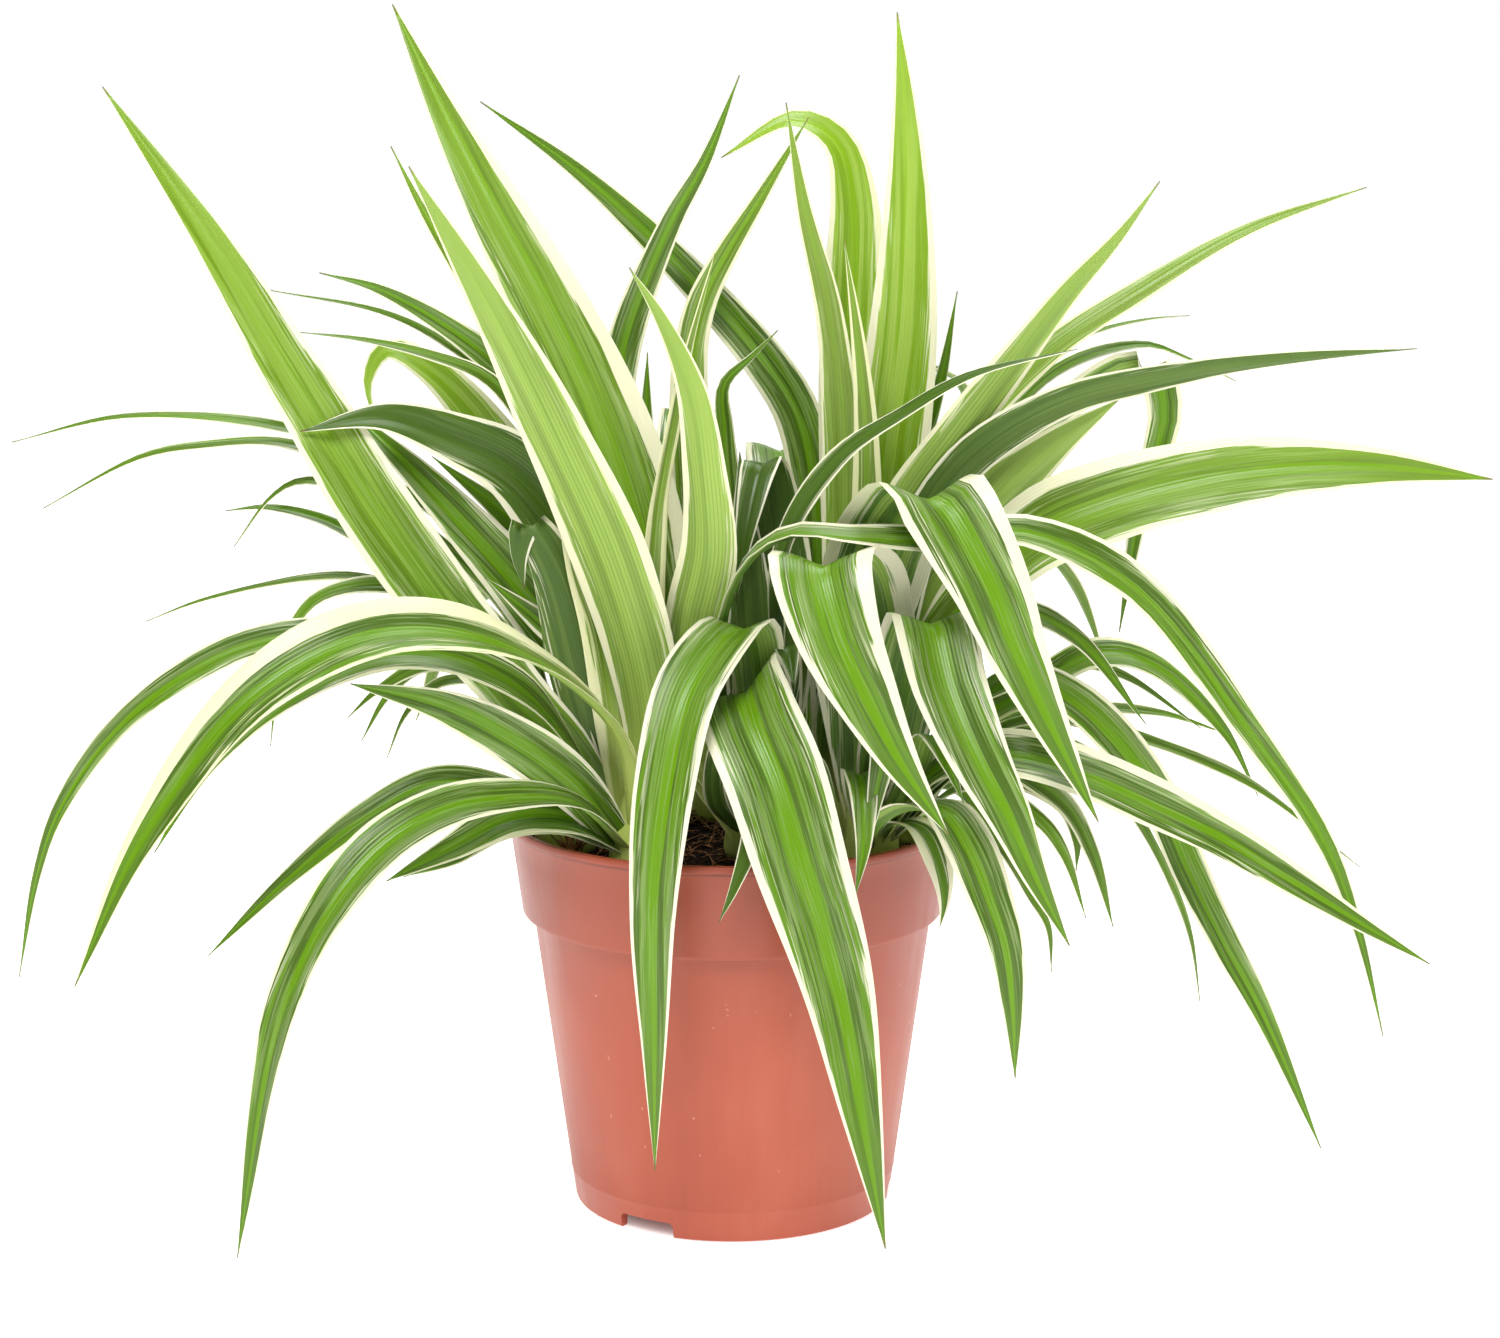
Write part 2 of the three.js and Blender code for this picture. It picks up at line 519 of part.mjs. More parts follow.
const backLeft = {
  at: [-29, 16],
  leaves: [
    { width: 10, across: [[-5, 0, -2]],
      path: [[-34, 7, 150], [-40, 4, 196], [-53, 2, 221], [-66, 1, 242],
        [-79, 2, 263], [-88, 2, 281]] },
    { width: 12, across: [[-5, 0, -3], [-2, -1, -5]], steps: 9,
      path: [[-40, 15, 168], [-49, 12, 207], [-60, 10, 222], [-75, 9, 234],
        [-93, 8, 244], [-108, 8, 248]] },
    { width: 4, across: [[-5, 0, -4], [-1, -1, -5]],
      path: [[-36, 22, 165], [-51, 18, 208], [-76, 16, 229], [-92, 16, 237],
        [-123, 16, 243]] },
    { width: 6, across: [[-5, 0, -3], [-1, -2, -5]],
      path: [[-40, 10, 152], [-48, 7, 196], [-63, 4, 220], [-79, 3, 227],
        [-96, 3, 231], [-114, 3, 233]] },
    { width: 17, across: [[-5, 0, -3], [-4, 0, -4], [3, -2, -3]], steps: 11,
      path: [[-46, 31, 168], [-68, 29, 206], [-82, 29, 221], [-93, 29, 226],
        [-98, 29, 218], [-96, 29, 204]] },
    { width: 12, across: [[-5, -1, -5]],
      path: [[-41, 22, 147], [-50, 20, 171], [-63, 16, 185], [-80, 14, 199]] },
    { width: 9, across: [[-2, -5, -2], [1, -3, -4]],
      path: [[-70, 28, 155], [-106, 30, 177], [-116, 30, 181], [-127, 30, 183],
        [-138, 30, 182]] },
    { width: 15, across: [[-4, -3, 0]],
      path: [[-46, 40, 150], [-64, 56, 158], [-80, 68, 142], [-92, 76, 114]] },
  ],
};

const backMiddle = {
  at: [-4, 30],
  leaves: [
    { width: 12, across: [[-5, 0, 1]], steps: 9,
      path: [[-16, 22, 135], [-26, 14, 171], [-32, 12, 200], [-29, 10, 227], [-16, 6, 261],
        [-7, 5, 277], [2, 4, 299]] },
    { width: 11, across: [[-5, 0, 0]], steps: 6,
      path: [[-26, 6, 170], [-23, 2, 200], [-22, 0, 228]] },
    { width: 12, across: [[-5, 0, 2]], steps: 9,
      path: [[-6, 20, 150], [-11, 15, 200], [-11, 14, 227], [-8, 14, 240],
        [-2, 14, 252], [6, 14, 265], [20, 14, 288]] },
    { width: 9, across: [[-5, 0, 2]],
      path: [[1, 16, 160], [-2, 11, 207], [-2, 8, 219], [5, 8, 226], [12, 8, 233]] },
    { width: 19, across: [[-5, 0, 0]], steps: 10,
      path: [[-26, 44, 150], [-34, 64, 170], [-41, 81, 154], [-44, 90, 120],
        [-45, 93, 80]] },
    { width: 20, across: [[-5, 0, 0]], steps: 10,
      path: [[-12, 50, 188], [-11, 70, 204], [-11, 86, 188], [-12, 95, 150],
        [-14, 98, 112]] },
  ],
};

const backRight = {
  at: [22, 34],
  leaves: [
    { width: 13, across: [[-5, 0, -2], [-5, 0, -5]], steps: 11,
      path: [[24, 30, 150], [22, 26, 190], [17, 26, 210], [9, 24, 223], [0, 23, 234],
        [-12, 22, 247], [-25, 21, 260], [-42, 20, 275], [-66, 18, 292]] },
    { width: 8, across: [[-5, 0, 1]], steps: 6,
      path: [[40, 28, 170], [55, 24, 215], [60, 24, 242]] },
    { width: 5, across: [[-3, 5, 2], [-1, 5, 4]],
      path: [[52, 31, 180], [85, 30, 224], [99, 30, 231], [112, 30, 234],
        [123, 30, 235]] },
    { width: 18, across: [[-5, 0, 0]], steps: 10,
      path: [[31, 54, 150], [37, 74, 158], [40, 88, 138], [42, 95, 100],
        [43, 97, 58]] },
    { width: 16, across: [[-3, 3, 0]],
      path: [[48, 50, 143], [68, 66, 146], [80, 77, 124], [86, 82, 96]] },
    { width: 20, across: [[-5, 0, 0]], steps: 10,
      path: [[15, 54, 184], [13, 73, 194], [13, 88, 160], [12, 94, 124],
        [11, 96, 88]] },
    { width: 15, across: [[-3, 3, 1]],
      path: [[50, 44, 162], [74, 58, 174], [95, 70, 158], [108, 77, 130]] },
    { width: 12, across: [[-3, 3, 1]],
      path: [[35, 48, 190], [48, 64, 216], [62, 76, 214], [71, 83, 196],
        [78, 88, 170]] },
  ],
};

// ---- the assembly -------------------------------------------------------------------------

const shoots = {
  shoot_front_left: frontLeft,
  shoot_front_middle: frontMiddle,
  shoot_right: right,
  shoot_front_right: frontRight,
  shoot_far_right: farRight,
  shoot_left: left,
  shoot_back_left: backLeft,
  shoot_back_middle: backMiddle,
  shoot_back_right: backRight,
};

const plastic = material(0xc9694f, 0.45);
const peat = material(0x2b1d14, 0.95);
const bareRoot = material(0x9a6a3e, 0.85);
const leafGreen = material(0x6ea332, 0.4);

const plant = new THREE.Group();

function place(name, geometry, finish) {
  const mesh = new THREE.Mesh(geometry, finish);
  mesh.name = name;
  plant.add(mesh);
}

const { radius, depth } = crown;
const crownHoles = Object.values(shoots).map(({ at }) => ({ at, radius, depth }));

place('pot', nurseryPot(), plastic);
place('soil', pottingSoil([...crownHoles, tuft]), peat);
place('root_tuft', rootTuft(), bareRoot);
for (const [name, shoot] of Object.entries(shoots)) {
  place(name, leafyShoot(shoot), leafGreen);
}

export default plant;
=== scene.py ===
"""Potted spider plant: a nursery pot, its soil and roots, and nine variegated leafy shoots."""
import logging
import math
import random
from dataclasses import dataclass
from enum import Enum
from functools import partial
from typing import Any, Callable, Sequence

import bmesh
import bpy
from mathutils import Matrix, Vector, noise


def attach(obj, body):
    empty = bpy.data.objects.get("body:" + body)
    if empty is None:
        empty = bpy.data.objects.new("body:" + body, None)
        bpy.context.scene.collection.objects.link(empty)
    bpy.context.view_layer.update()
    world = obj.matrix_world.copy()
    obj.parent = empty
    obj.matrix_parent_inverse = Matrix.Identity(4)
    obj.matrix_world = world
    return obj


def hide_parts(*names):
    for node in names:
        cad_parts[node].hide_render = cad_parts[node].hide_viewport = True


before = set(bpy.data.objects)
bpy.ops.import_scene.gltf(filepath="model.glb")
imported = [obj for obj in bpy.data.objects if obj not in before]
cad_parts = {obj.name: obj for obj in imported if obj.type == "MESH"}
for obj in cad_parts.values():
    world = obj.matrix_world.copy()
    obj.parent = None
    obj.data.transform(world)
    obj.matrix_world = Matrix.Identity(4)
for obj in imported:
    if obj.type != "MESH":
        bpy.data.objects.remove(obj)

log = logging.getLogger("spider_plant")

MM = 0.001
SOIL_LEVEL = 96.5  # millimetres above the floor
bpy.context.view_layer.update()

Point = tuple[float, float, float]
Adder = Callable[..., bpy.types.Node]
Carried = dict[str, Any]

# The node types and settings used most.
MATH = "ShaderNodeMath"
VECTOR = "ShaderNodeVectorMath"
MIX = "ShaderNodeMix"
RANGE = "ShaderNodeMapRange"
NOISE = "ShaderNodeTexNoise"
PLUS = {"operation": "ADD"}
MINUS = {"operation": "SUBTRACT"}
TIMES = {"operation": "MULTIPLY"}
TIMES_PLUS = {"operation": "MULTIPLY_ADD"}
OVER = {"operation": "DIVIDE"}
SIZE_OF = {"operation": "ABSOLUTE"}
SINE_OF = {"operation": "SINE"}
COLOURS = {"data_type": "RGBA"}
# A range node set so eases in and out.
SOFT = {"interpolation_type": "SMOOTHSTEP"}


# ---- small helpers ------------------------------------------------------------------------


def linear(hex_colour: str) -> tuple[float, float, float, float]:
    """Turn an sRGB hex colour into the linear RGBA that shader sockets take.

    Args:
        hex_colour: Six hex digits after a hash, such as "#3a7a1e".

    Returns:
        Linear red, green, blue and an alpha of one.
    """
    values = [int(hex_colour[i:i + 2], 16) / 255 for i in (1, 3, 5)]
    channels = [v / 12.92 if v <= 0.04045 else ((v + 0.055) / 1.055) ** 2.4 for v in values]
    return (channels[0], channels[1], channels[2], 1.0)


def add_node(tree: bpy.types.NodeTree, kind: str, *feeds: Any, **settings: Any) -> bpy.types.Node:
    """Add one node to a tree, with its settings and with what feeds its inputs.

    Args:
        tree: The shader, world or geometry node tree.
        kind: The node's type name, such as "ShaderNodeMath".
        feeds: What goes into the inputs in use, in their order: a value, a hex colour, a socket,
            or a node, whose first output in use is taken. A dictionary feeds inputs by name.
        settings: Properties of the node itself, such as its operation.

    Returns:
        The new node.
    """
    node = tree.nodes.new(kind)
    for name, value in settings.items():
        setattr(node, name, value)
    sockets = [socket for socket in node.inputs if socket.enabled]
    pairs: list[tuple[bpy.types.NodeSocket, Any]] = []
    for place, feed in enumerate(feeds):
        if isinstance(feed, dict):
            pairs += [(node.inputs[key], value) for key, value in feed.items()]
        else:
            pairs.append((sockets[place], feed))
    for socket, feed in pairs:
        if isinstance(feed, bpy.types.Node):
            feed = next(output for output in feed.outputs if output.enabled)
        if isinstance(feed, bpy.types.NodeSocket):
            tree.links.new(feed, socket)
        elif isinstance(feed, str) and feed.startswith("#"):
            socket.default_value = linear(feed)
        else:
            socket.default_value = feed
    return node


def ramp_stops(node: bpy.types.Node, stops: Sequence[tuple[float, str]]) -> None:
    """Give a colour ramp its stops.

    Args:
        node: The colour ramp node.
        stops: Pairs of position and sRGB hex colour, from left to right.
    """
    elements = node.color_ramp.elements
    while len(elements) < len(stops):
        elements.new(0.5)
    for element, (position, colour) in zip(elements, stops):
        element.position = position
        element.color = linear(colour)


def object_of(name: str, mesh: bpy.types.Mesh) -> bpy.types.Object:
    """Put a mesh into the scene as an object at the origin, and return the object."""
    thing = bpy.data.objects.new(name, mesh)
    bpy.context.scene.collection.objects.link(thing)
    return thing


def baked(thing: bpy.types.Object, name: str) -> bpy.types.Object:
    """Turn an object with live modifiers into a plain mesh object.

    Args:
        thing: The object whose modifiers are to be applied.
        name: The new object's name.

    Returns:
        A new object with the evaluated mesh; the old one is removed.
    """
    depsgraph = bpy.context.evaluated_depsgraph_get()
    mesh = bpy.data.meshes.new_from_object(thing.evaluated_get(depsgraph), depsgraph=depsgraph)
    bpy.data.objects.remove(thing, do_unlink=True)
    mesh.name = name
    return object_of(name, mesh)


def fused(pieces: Sequence[bpy.types.Object], name: str) -> bpy.types.Object:
    """Join several mesh objects into one, keeping their attributes and materials."""
    with bpy.context.temp_override(active_object=pieces[0], object=pieces[0],
                                   selected_objects=list(pieces),
                                   selected_editable_objects=list(pieces)):
        bpy.ops.object.join()
    pieces[0].name = name
    pieces[0].data.name = name
    return pieces[0]


def settled(body: bmesh.types.BMesh, name: str) -> bpy.types.Mesh:
    """Turn a mesh under edit, which is used up, into a named mesh with smooth faces."""
    mesh = bpy.data.meshes.new(name)
    body.to_mesh(mesh)
    body.free()
    smooth(mesh)
    return mesh


def smooth(mesh: bpy.types.Mesh) -> None:
    """Shade every face of a mesh smooth."""
    for polygon in mesh.polygons:
        polygon.use_smooth = True


def store(mesh: bpy.types.Mesh, kind: str, **layers: Sequence[float]) -> None:
    """Store layers of values on a mesh's points.

    Args:
        mesh: The mesh.
        kind: What one value is: "FLOAT", "FLOAT_VECTOR" or "FLOAT_COLOR".
        layers: The values of each layer by its name, one after another.
    """
    key = {"FLOAT": "value", "FLOAT_VECTOR": "vector", "FLOAT_COLOR": "color"}[kind]
    for name, values in layers.items():
        mesh.attributes.new(name, kind, "POINT").data.foreach_set(key, values)


def turned(profile: Sequence[tuple[float, float]], sides: int,
           centre: tuple[float, float] = (0, 0)) -> bmesh.types.BMesh:
    """Make a closed surface of revolution about an upright axis.

    Args:
        profile: Radius and height of each ring in millimetres, from the lower pole to the upper one.
        sides: How many faces go round.
        centre: Where the axis stands, in millimetres.

    Returns:
        A mesh in metres whose poles are closed.
    """
    body = bmesh.new()
    rings = []
    for radius, height in profile:
        count = 1 if radius <= 0 else sides
        ring = []
        for i in range(count):
            angle = 2 * math.pi * i / sides
            x = centre[0] + radius * math.cos(angle)
            y = centre[1] + radius * math.sin(angle)
            ring.append(body.verts.new((x * MM, y * MM, height * MM)))
        rings.append(ring)
    for low, high in zip(rings, rings[1:]):
        for i in range(sides):
            j = (i + 1) % sides
            corners = [low[i % len(low)], low[j % len(low)], high[j % len(high)], high[i % len(high)]]
            unique = list(dict.fromkeys(corners))
            if len(unique) > 2:
                body.faces.new(unique)
    bmesh.ops.recalc_face_normals(body, faces=body.faces)
    return body


class CatmullPath:
    """A smooth line through given points, measured along its own length."""

    def __init__(self, points: Sequence[Point], fineness: int = 40) -> None:
        """Trace the line finely.

        Args:
            points: What the line passes through, in millimetres.
            fineness: Samples between one point and the next.
        """
        knots = [Vector(p) for p in points]
        ends = [2 * knots[0] - knots[1], *knots, 2 * knots[-1] - knots[-2]]
        self.trace: list[Vector] = [knots[0]]
        for a, b, c, d in zip(ends, ends[1:], ends[2:], ends[3:]):
            gaps = [max((q - p).length ** 0.5, 1e-4) for p, q in ((a, b), (b, c), (c, d))]
            start = ((b - a) / gaps[0] - (c - a) / (gaps[0] + gaps[1]) + (c - b) / gaps[1]) * gaps[1]
            finish = ((c - b) / gaps[1] - (d - b) / (gaps[1] + gaps[2]) + (d - c) / gaps[2]) * gaps[1]
            for i in range(1, fineness + 1):
                t = i / fineness
                cubic = 2 * b - 2 * c + start + finish
                square = -3 * b + 3 * c - 2 * start - finish
                self.trace.append(b + start * t + square * t ** 2 + cubic * t ** 3)
        self.reach = [0.0]
        for p, q in zip(self.trace, self.trace[1:]):
            self.reach.append(self.reach[-1] + (q - p).length)

    @property
    def length(self) -> float:
        """The line's whole length in millimetres."""
        return self.reach[-1]

    def at(self, along: float) -> tuple[Vector, Vector]:
        """Find a place on the line.

        Args:
            along: Share of the whole length, from 0 to 1.

        Returns:
            The point there and the direction of travel.
        """
        target = along * self.length
        low, high = 0, len(self.reach) - 1
        while high - low > 1:
            middle = (low + high) // 2
            low, high = (middle, high) if self.reach[middle] <= target else (low, middle)
        span = max(self.reach[high] - self.reach[low], 1e-9)
        point = self.trace[low].lerp(self.trace[high], (target - self.reach[low]) / span)
        before = self.trace[max(low - 1, 0)]
        after = self.trace[min(high + 1, len(self.trace) - 1)]
        return point, (after - before).normalized()


# ---- finishes -----------------------------------------------------------------------------


def new_material(name: str) -> tuple[bpy.types.Material, Adder]:
    """Start a material with an empty tree.

    Args:
        name: The material's name.

    Returns:
        The material, and a function that adds a node to its tree.
    """
    material = bpy.data.materials.new(name)
    material.use_nodes = True
    material.node_tree.nodes.clear()
    return material, partial(add_node, material.node_tree)


@dataclass(frozen=True)
class MouldedPolypropylene:
    """Injection-moulded polypropylene in terracotta orange.

    It has a satin skin with faint upright flow streaks and a few small scuffs, so a softbox shows
    in it as a wide dull band. Painted shade from the foliage above darkens the wall towards the
    top, most of all on the collar, and a fine dark line of painted shadow lies under the collar
    and under the bead of the rim.
    """

    base: str = "#ab4f35"
    pale: str = "#b25a41"
    deep: str = "#a24830"
    # Painted shade of the foliage above, deepest on the collar.
    thick: str = "#91412c"
    # Painted shadow lines under the collar and under the bead of the rim.
    crease_shadow: str = "#6e2f22"
    crease_heights_mm: tuple[float, ...] = (79.1, 102.7)
    crease_half_mm: float = 0.6
    scuff: str = "#dba58d"
    streak_mm: float = 2.6
    fine_mm: float = 0.5

    def make(self) -> bpy.types.Material:
        """Build the material and return it."""
        material, add = new_material("moulded_polypropylene_terracotta")
        place = add("ShaderNodeTexCoord").outputs["Object"]
        # Streaks run up the wall, so the pattern is squeezed round it and stretched in height.
        round_wall = 1 / (self.streak_mm * MM)
        wide = add("ShaderNodeMapping", {"Vector": place, "Scale": (round_wall, round_wall, 9.0)})
        flow = add(NOISE, {"Vector": wide, "Scale": 0.5, "Detail": 3.0, "Roughness": 0.6})
        cloud = add(NOISE, {"Vector": place, "Scale": 22.0, "Detail": 2.0})
        mixed = add(MATH, flow, 0.45, cloud, **TIMES_PLUS)
        colour = add("ShaderNodeValToRGB", mixed)
        ramp_stops(colour, [(0.45, self.deep), (0.72, self.base), (0.98, self.pale)])
        speck = add(NOISE, {"Vector": place, "Scale": 420.0, "Detail": 1.0})
        chosen = add(RANGE, speck, 0.775, 0.79, 0.0, 0.35)
        scuffed = add(MIX, chosen, colour, self.scuff, **COLOURS)
        height = add("ShaderNodeSeparateXYZ", place).outputs["Z"]
        # Painted shade: the wall darkens from halfway up towards the top, most of all on the collar,
        # where the foliage shades it.
        collar = add(RANGE, height, 0.045, 0.1, 0.0, 0.8, **SOFT)
        painted_shade_colour = add(MIX, collar, scuffed, self.thick, **COLOURS)
        # Painted shadow: a fine dark line under the collar and under the bead of the rim.
        for level in self.crease_heights_mm:
            away = add(MATH, add(MATH, height, level * MM, **MINUS), **SIZE_OF)
            crease_shadow_share = add(RANGE, away, self.crease_half_mm * MM, 0.0, 0.0, 0.75, **SOFT)
            painted_shade_colour = add(MIX, crease_shadow_share, painted_shade_colour, self.crease_shadow, **COLOURS)
        rough = add(RANGE, flow, 0.3, 0.7, 0.33, 0.46)
        fine = add(NOISE, {"Vector": place, "Scale": 1 / (self.fine_mm * MM), "Detail": 2.0})
        skin = add("ShaderNodeBump", {"Height": fine, "Strength": 0.25, "Distance": 0.00006})
        add("ShaderNodeOutputMaterial", add("ShaderNodeBsdfPrincipled", {
            "Base Color": painted_shade_colour, "Roughness": rough, "Normal": skin, "IOR": 1.49}))
        return material


@dataclass(frozen=True)
class PeatMix:
    """Damp peat-based potting mix.

    It is nearly black-brown and wholly matt, with redder fibres and paler crumbs mixed in.
    """

    dark: str = "#140d09"
    brown: str = "#33221a"
    fibre: str = "#6b4028"
    crumb_mm: float = 1.6

    def make(self) -> bpy.types.Material:
        """Build the material and return it."""
        material, add = new_material("damp_peat_mix")
        place = add("ShaderNodeTexCoord").outputs["Object"]
        lumps = add(NOISE, {"Vector": place, "Scale": 1 / (self.crumb_mm * MM), "Detail": 5.0,
                            "Roughness": 0.7})
        colour = add("ShaderNodeValToRGB", lumps)
        ramp_stops(colour, [(0.35, self.dark), (0.6, self.brown), (0.78, self.fibre)])
        grain = add("ShaderNodeBump", {"Height": lumps, "Strength": 0.9, "Distance": 0.0008})
        add("ShaderNodeOutputMaterial", add("ShaderNodeBsdfPrincipled", {
            "Base Color": colour, "Normal": grain, "Roughness": 0.92, "Specular IOR Level": 0.2}))
        return material


@dataclass(frozen=True)
class DryRoot:
    """Dry root fibre, stripped and weathered.

    Each strand is a warm brown in darker and paler patches, with a dull bark-like skin.
    """

    dark: str = "#4f2d16"
    warm: str = "#8f5a33"
    pale: str = "#bb8d5d"

    def make(self) -> bpy.types.Material:
        """Build the material and return it."""
        material, add = new_material("dry_root_fibre")
        place = add("ShaderNodeTexCoord").outputs["Object"]
        patch = add(NOISE, {"Vector": place, "Scale": 420.0, "Detail": 3.0})
        colour = add("ShaderNodeValToRGB", patch)
        ramp_stops(colour, [(0.32, self.dark), (0.5, self.warm), (0.7, self.pale)])
        skin = add("ShaderNodeBump", {"Height": patch, "Strength": 0.5, "Distance": 0.0002})
        add("ShaderNodeOutputMaterial", add("ShaderNodeBsdfPrincipled", {
            "Base Color": colour, "Normal": skin, "Roughness": 0.75}))
        return material


@dataclass(frozen=True)
class VariegatedLeaf:
    """Living strap leaf with a waxy skin, green with cream margins.

    The upper face is glossy, with a bright band along the midrib between darker greens, and the
    lower face is greyer and duller with its veins showing. The green ends at the pale margin in
    ragged lengthwise streaks, and light comes through the thin blade.
    """

    cream: str = "#e5e2c6"
    butter: str = "#dbde92"
    deep: str = "#3d5716"
    dark: str = "#3f5713"
    leaf: str = "#5c8413"
    bright: str = "#649200"
    # Grey-green of the painted sheen patches, and of the fine streaks on the upper face.
    sheen_and_streak_grey: str = "#8fa566"
    lime: str = "#a3bd50"
    sunlit: str = "#8db50e"
    sunlit_pale: str = "#adca50"
    under: str = "#8aa94e"
    under_dark: str = "#5a7c33"
    sheath: str = "#c3cf70"
    dry: str = "#8a6a4a"
    vein_mm: float = 0.9
    # Streaks: cells to a millimetre across and along, a shift, and how many finer layers.
    broad: tuple[float, ...] = (0.42, 0.008, 0.0, 2.0)
    ragged: tuple[float, ...] = (0.9, 0.03, 11.0, 2.0)
    thread: tuple[float, ...] = (2.2, 0.045, 23.0, 1.0)

    def make(self) -> bpy.types.Material:
        """Build the material and return it."""
        material, add = new_material("living_variegated_leaf")
        carried = {name: add("ShaderNodeAttribute", attribute_name=name).outputs["Fac"]
                   for name in ("across", "along", "face", "across_mm", "along_mm")}
        for layer, names, last in (("pattern", ("margin", "stripe", "tone"), "sun"),
                                   ("growth", ("seed", "lean", "youth"), "shade")):
            stored = add("ShaderNodeAttribute", attribute_name=layer)
            carried.update(zip(names, add("ShaderNodeSeparateColor", stored).outputs))
            carried[last] = stored.outputs["Alpha"]
        # Fine streaks fade out where the blade runs to its tip.
        carried["calm"] = add(RANGE, carried["along"], 0.92, 0.62, **SOFT)
        for name, grain in (("broad", self.broad), ("ragged", self.ragged), ("thread", self.thread)):
            carried[name] = self.streaks(add, carried, *grain)
        ribbed = add(MATH, carried["across_mm"], 2 * math.pi / self.vein_mm, **TIMES)
        carried["veins"] = add(MATH, add(MATH, ribbed, **SINE_OF), carried["calm"], **TIMES)
        colour = self.margins(add, carried, self.greens(add, carried))
        # The upper face is the glossier.
        rough = add(MATH, carried["face"], -0.2, 0.52, **TIMES_PLUS)
        uneven = add(MATH, carried["ragged"], 0.5, **MINUS)
        rougher = add(MATH, uneven, 0.18, rough, **TIMES_PLUS)
        relief = add(MATH, carried["veins"], 0.5, carried["thread"], **TIMES_PLUS)
        skin = add("ShaderNodeBump", {"Height": relief, "Strength": 0.35, "Distance": 0.00012})
        add("ShaderNodeOutputMaterial", add("ShaderNodeBsdfPrincipled", {
            "Base Color": colour, "Roughness": rougher, "Normal": skin, "IOR": 1.41,
            "Subsurface Weight": 0.15, "Subsurface Radius": (0.7, 1.0, 0.25),
            "Subsurface Scale": 0.001}))
        return material

    def streaks(self, add: Adder, carried: Carried, per_mm: float, along_per_mm: float,
                shift: float, detail: float) -> bpy.types.Node:
        """Draw noise out along the blade, different on every leaf and calm at its tip.

        Args:
            add: Adds a node to the tree.
            carried: The values that the blade carries.
            per_mm: Cells to a millimetre across the blade.
            along_per_mm: Cells to a millimetre along it.
            shift: Sets one set of streaks apart from another.
            detail: How many finer layers the noise has.

        Returns:
            A node whose value swings about one half.
        """
        spot = add("ShaderNodeCombineXYZ", add(MATH, carried["across_mm"], per_mm, **TIMES),
                   add(MATH, carried["along_mm"], along_per_mm, **TIMES),
                   add(MATH, carried["seed"], 90.0, shift, **TIMES_PLUS))
        noise_node = add(NOISE, {"Vector": spot, "Scale": 1.0, "Detail": detail, "Roughness": 0.55})
        swing = add(MATH, noise_node, 0.5, **MINUS)
        return add(MATH, swing, carried["calm"], 0.5, **TIMES_PLUS)

    def greens(self, add: Adder, carried: Carried) -> bpy.types.Node:
        """Colour the green tissue of both faces.

        Args:
            add: Adds a node to the tree.
            carried: The values that the blade carries, with its streaks and its veins.

        Returns:
            The node whose colour is the green of this place.
        """
        ragged, broad = carried["ragged"], carried["broad"]
        wander = add(MATH, add(MATH, ragged, 0.5, **MINUS), 0.5, **TIMES)
        off_rib = add(MATH, add(MATH, carried["across"], **SIZE_OF), wander, **PLUS)
        near_rib = add(RANGE, off_rib, 0.26, 0.14, **SOFT)
        middle = add(MATH, near_rib, carried["stripe"], **TIMES)
        # Upper face: bright along the midrib, darker beside it, with grey-green patches of painted sheen
        # towards the margin.
        bands = add(RANGE, broad, 0.475, 0.525, **SOFT)
        upper = add(MIX, add(MATH, bands, 0.75, 0.25, **TIMES_PLUS), self.dark, self.leaf, **COLOURS)
        mottled = add(MATH, add(RANGE, ragged, 0.49, 0.54, **SOFT), 0.45, **TIMES)
        outer = add(RANGE, off_rib, 0.3, 0.5, **SOFT)
        # Painted sheen: grey-green patches towards the margin of the upper face.
        sheen_patches = add(MATH, mottled, outer, **TIMES)
        upper = add(MIX, sheen_patches, upper, self.sheen_and_streak_grey, **COLOURS)
        upper = add(MIX, middle, upper, self.bright, **COLOURS)
        fine = add(MATH, add(RANGE, carried["thread"], 0.52, 0.6, **SOFT), 0.3, **TIMES)
        upper = add(MIX, fine, upper, self.sheen_and_streak_grey, **COLOURS)
        # Lower face: greyer, with its veins as fine darker lines.
        cloudy = add(RANGE, broad, 0.42, 0.58, **SOFT)
        lower = add(MIX, cloudy, self.under_dark, self.under, **COLOURS)
        showing = add(MATH, middle, 0.35, **TIMES)
        lower = add(MIX, showing, lower, self.bright, **COLOURS)
        green = add(MIX, carried["face"], lower, upper, **COLOURS)
        # The tone tints the green towards pale lime: partly the paler tissue of young leaves and
        # undersides, partly painted top light on the pale kinds.
        green = add(MIX, carried["tone"], green, self.lime, **COLOURS)
        # Light from behind turns the green brighter and yellower, most of all up the blade.
        backlit = add(MIX, bands, self.sunlit, self.sunlit_pale, **COLOURS)
        clear = add(RANGE, carried["along"], 0.3, 0.6, 0.35, 1.0, **SOFT)
        green = add(MIX, add(MATH, carried["sun"], clear, **TIMES), green, backlit, **COLOURS)
        green = add(MIX, carried["shade"], green, self.deep, **COLOURS)
        strength = add(MATH, carried["face"], -0.2, 0.32, **TIMES_PLUS)
        lines = add(MATH, add(RANGE, carried["veins"], 0.35, 0.95, **SOFT), strength, **TIMES)
        return add(MIX, lines, green, self.dark, **COLOURS)

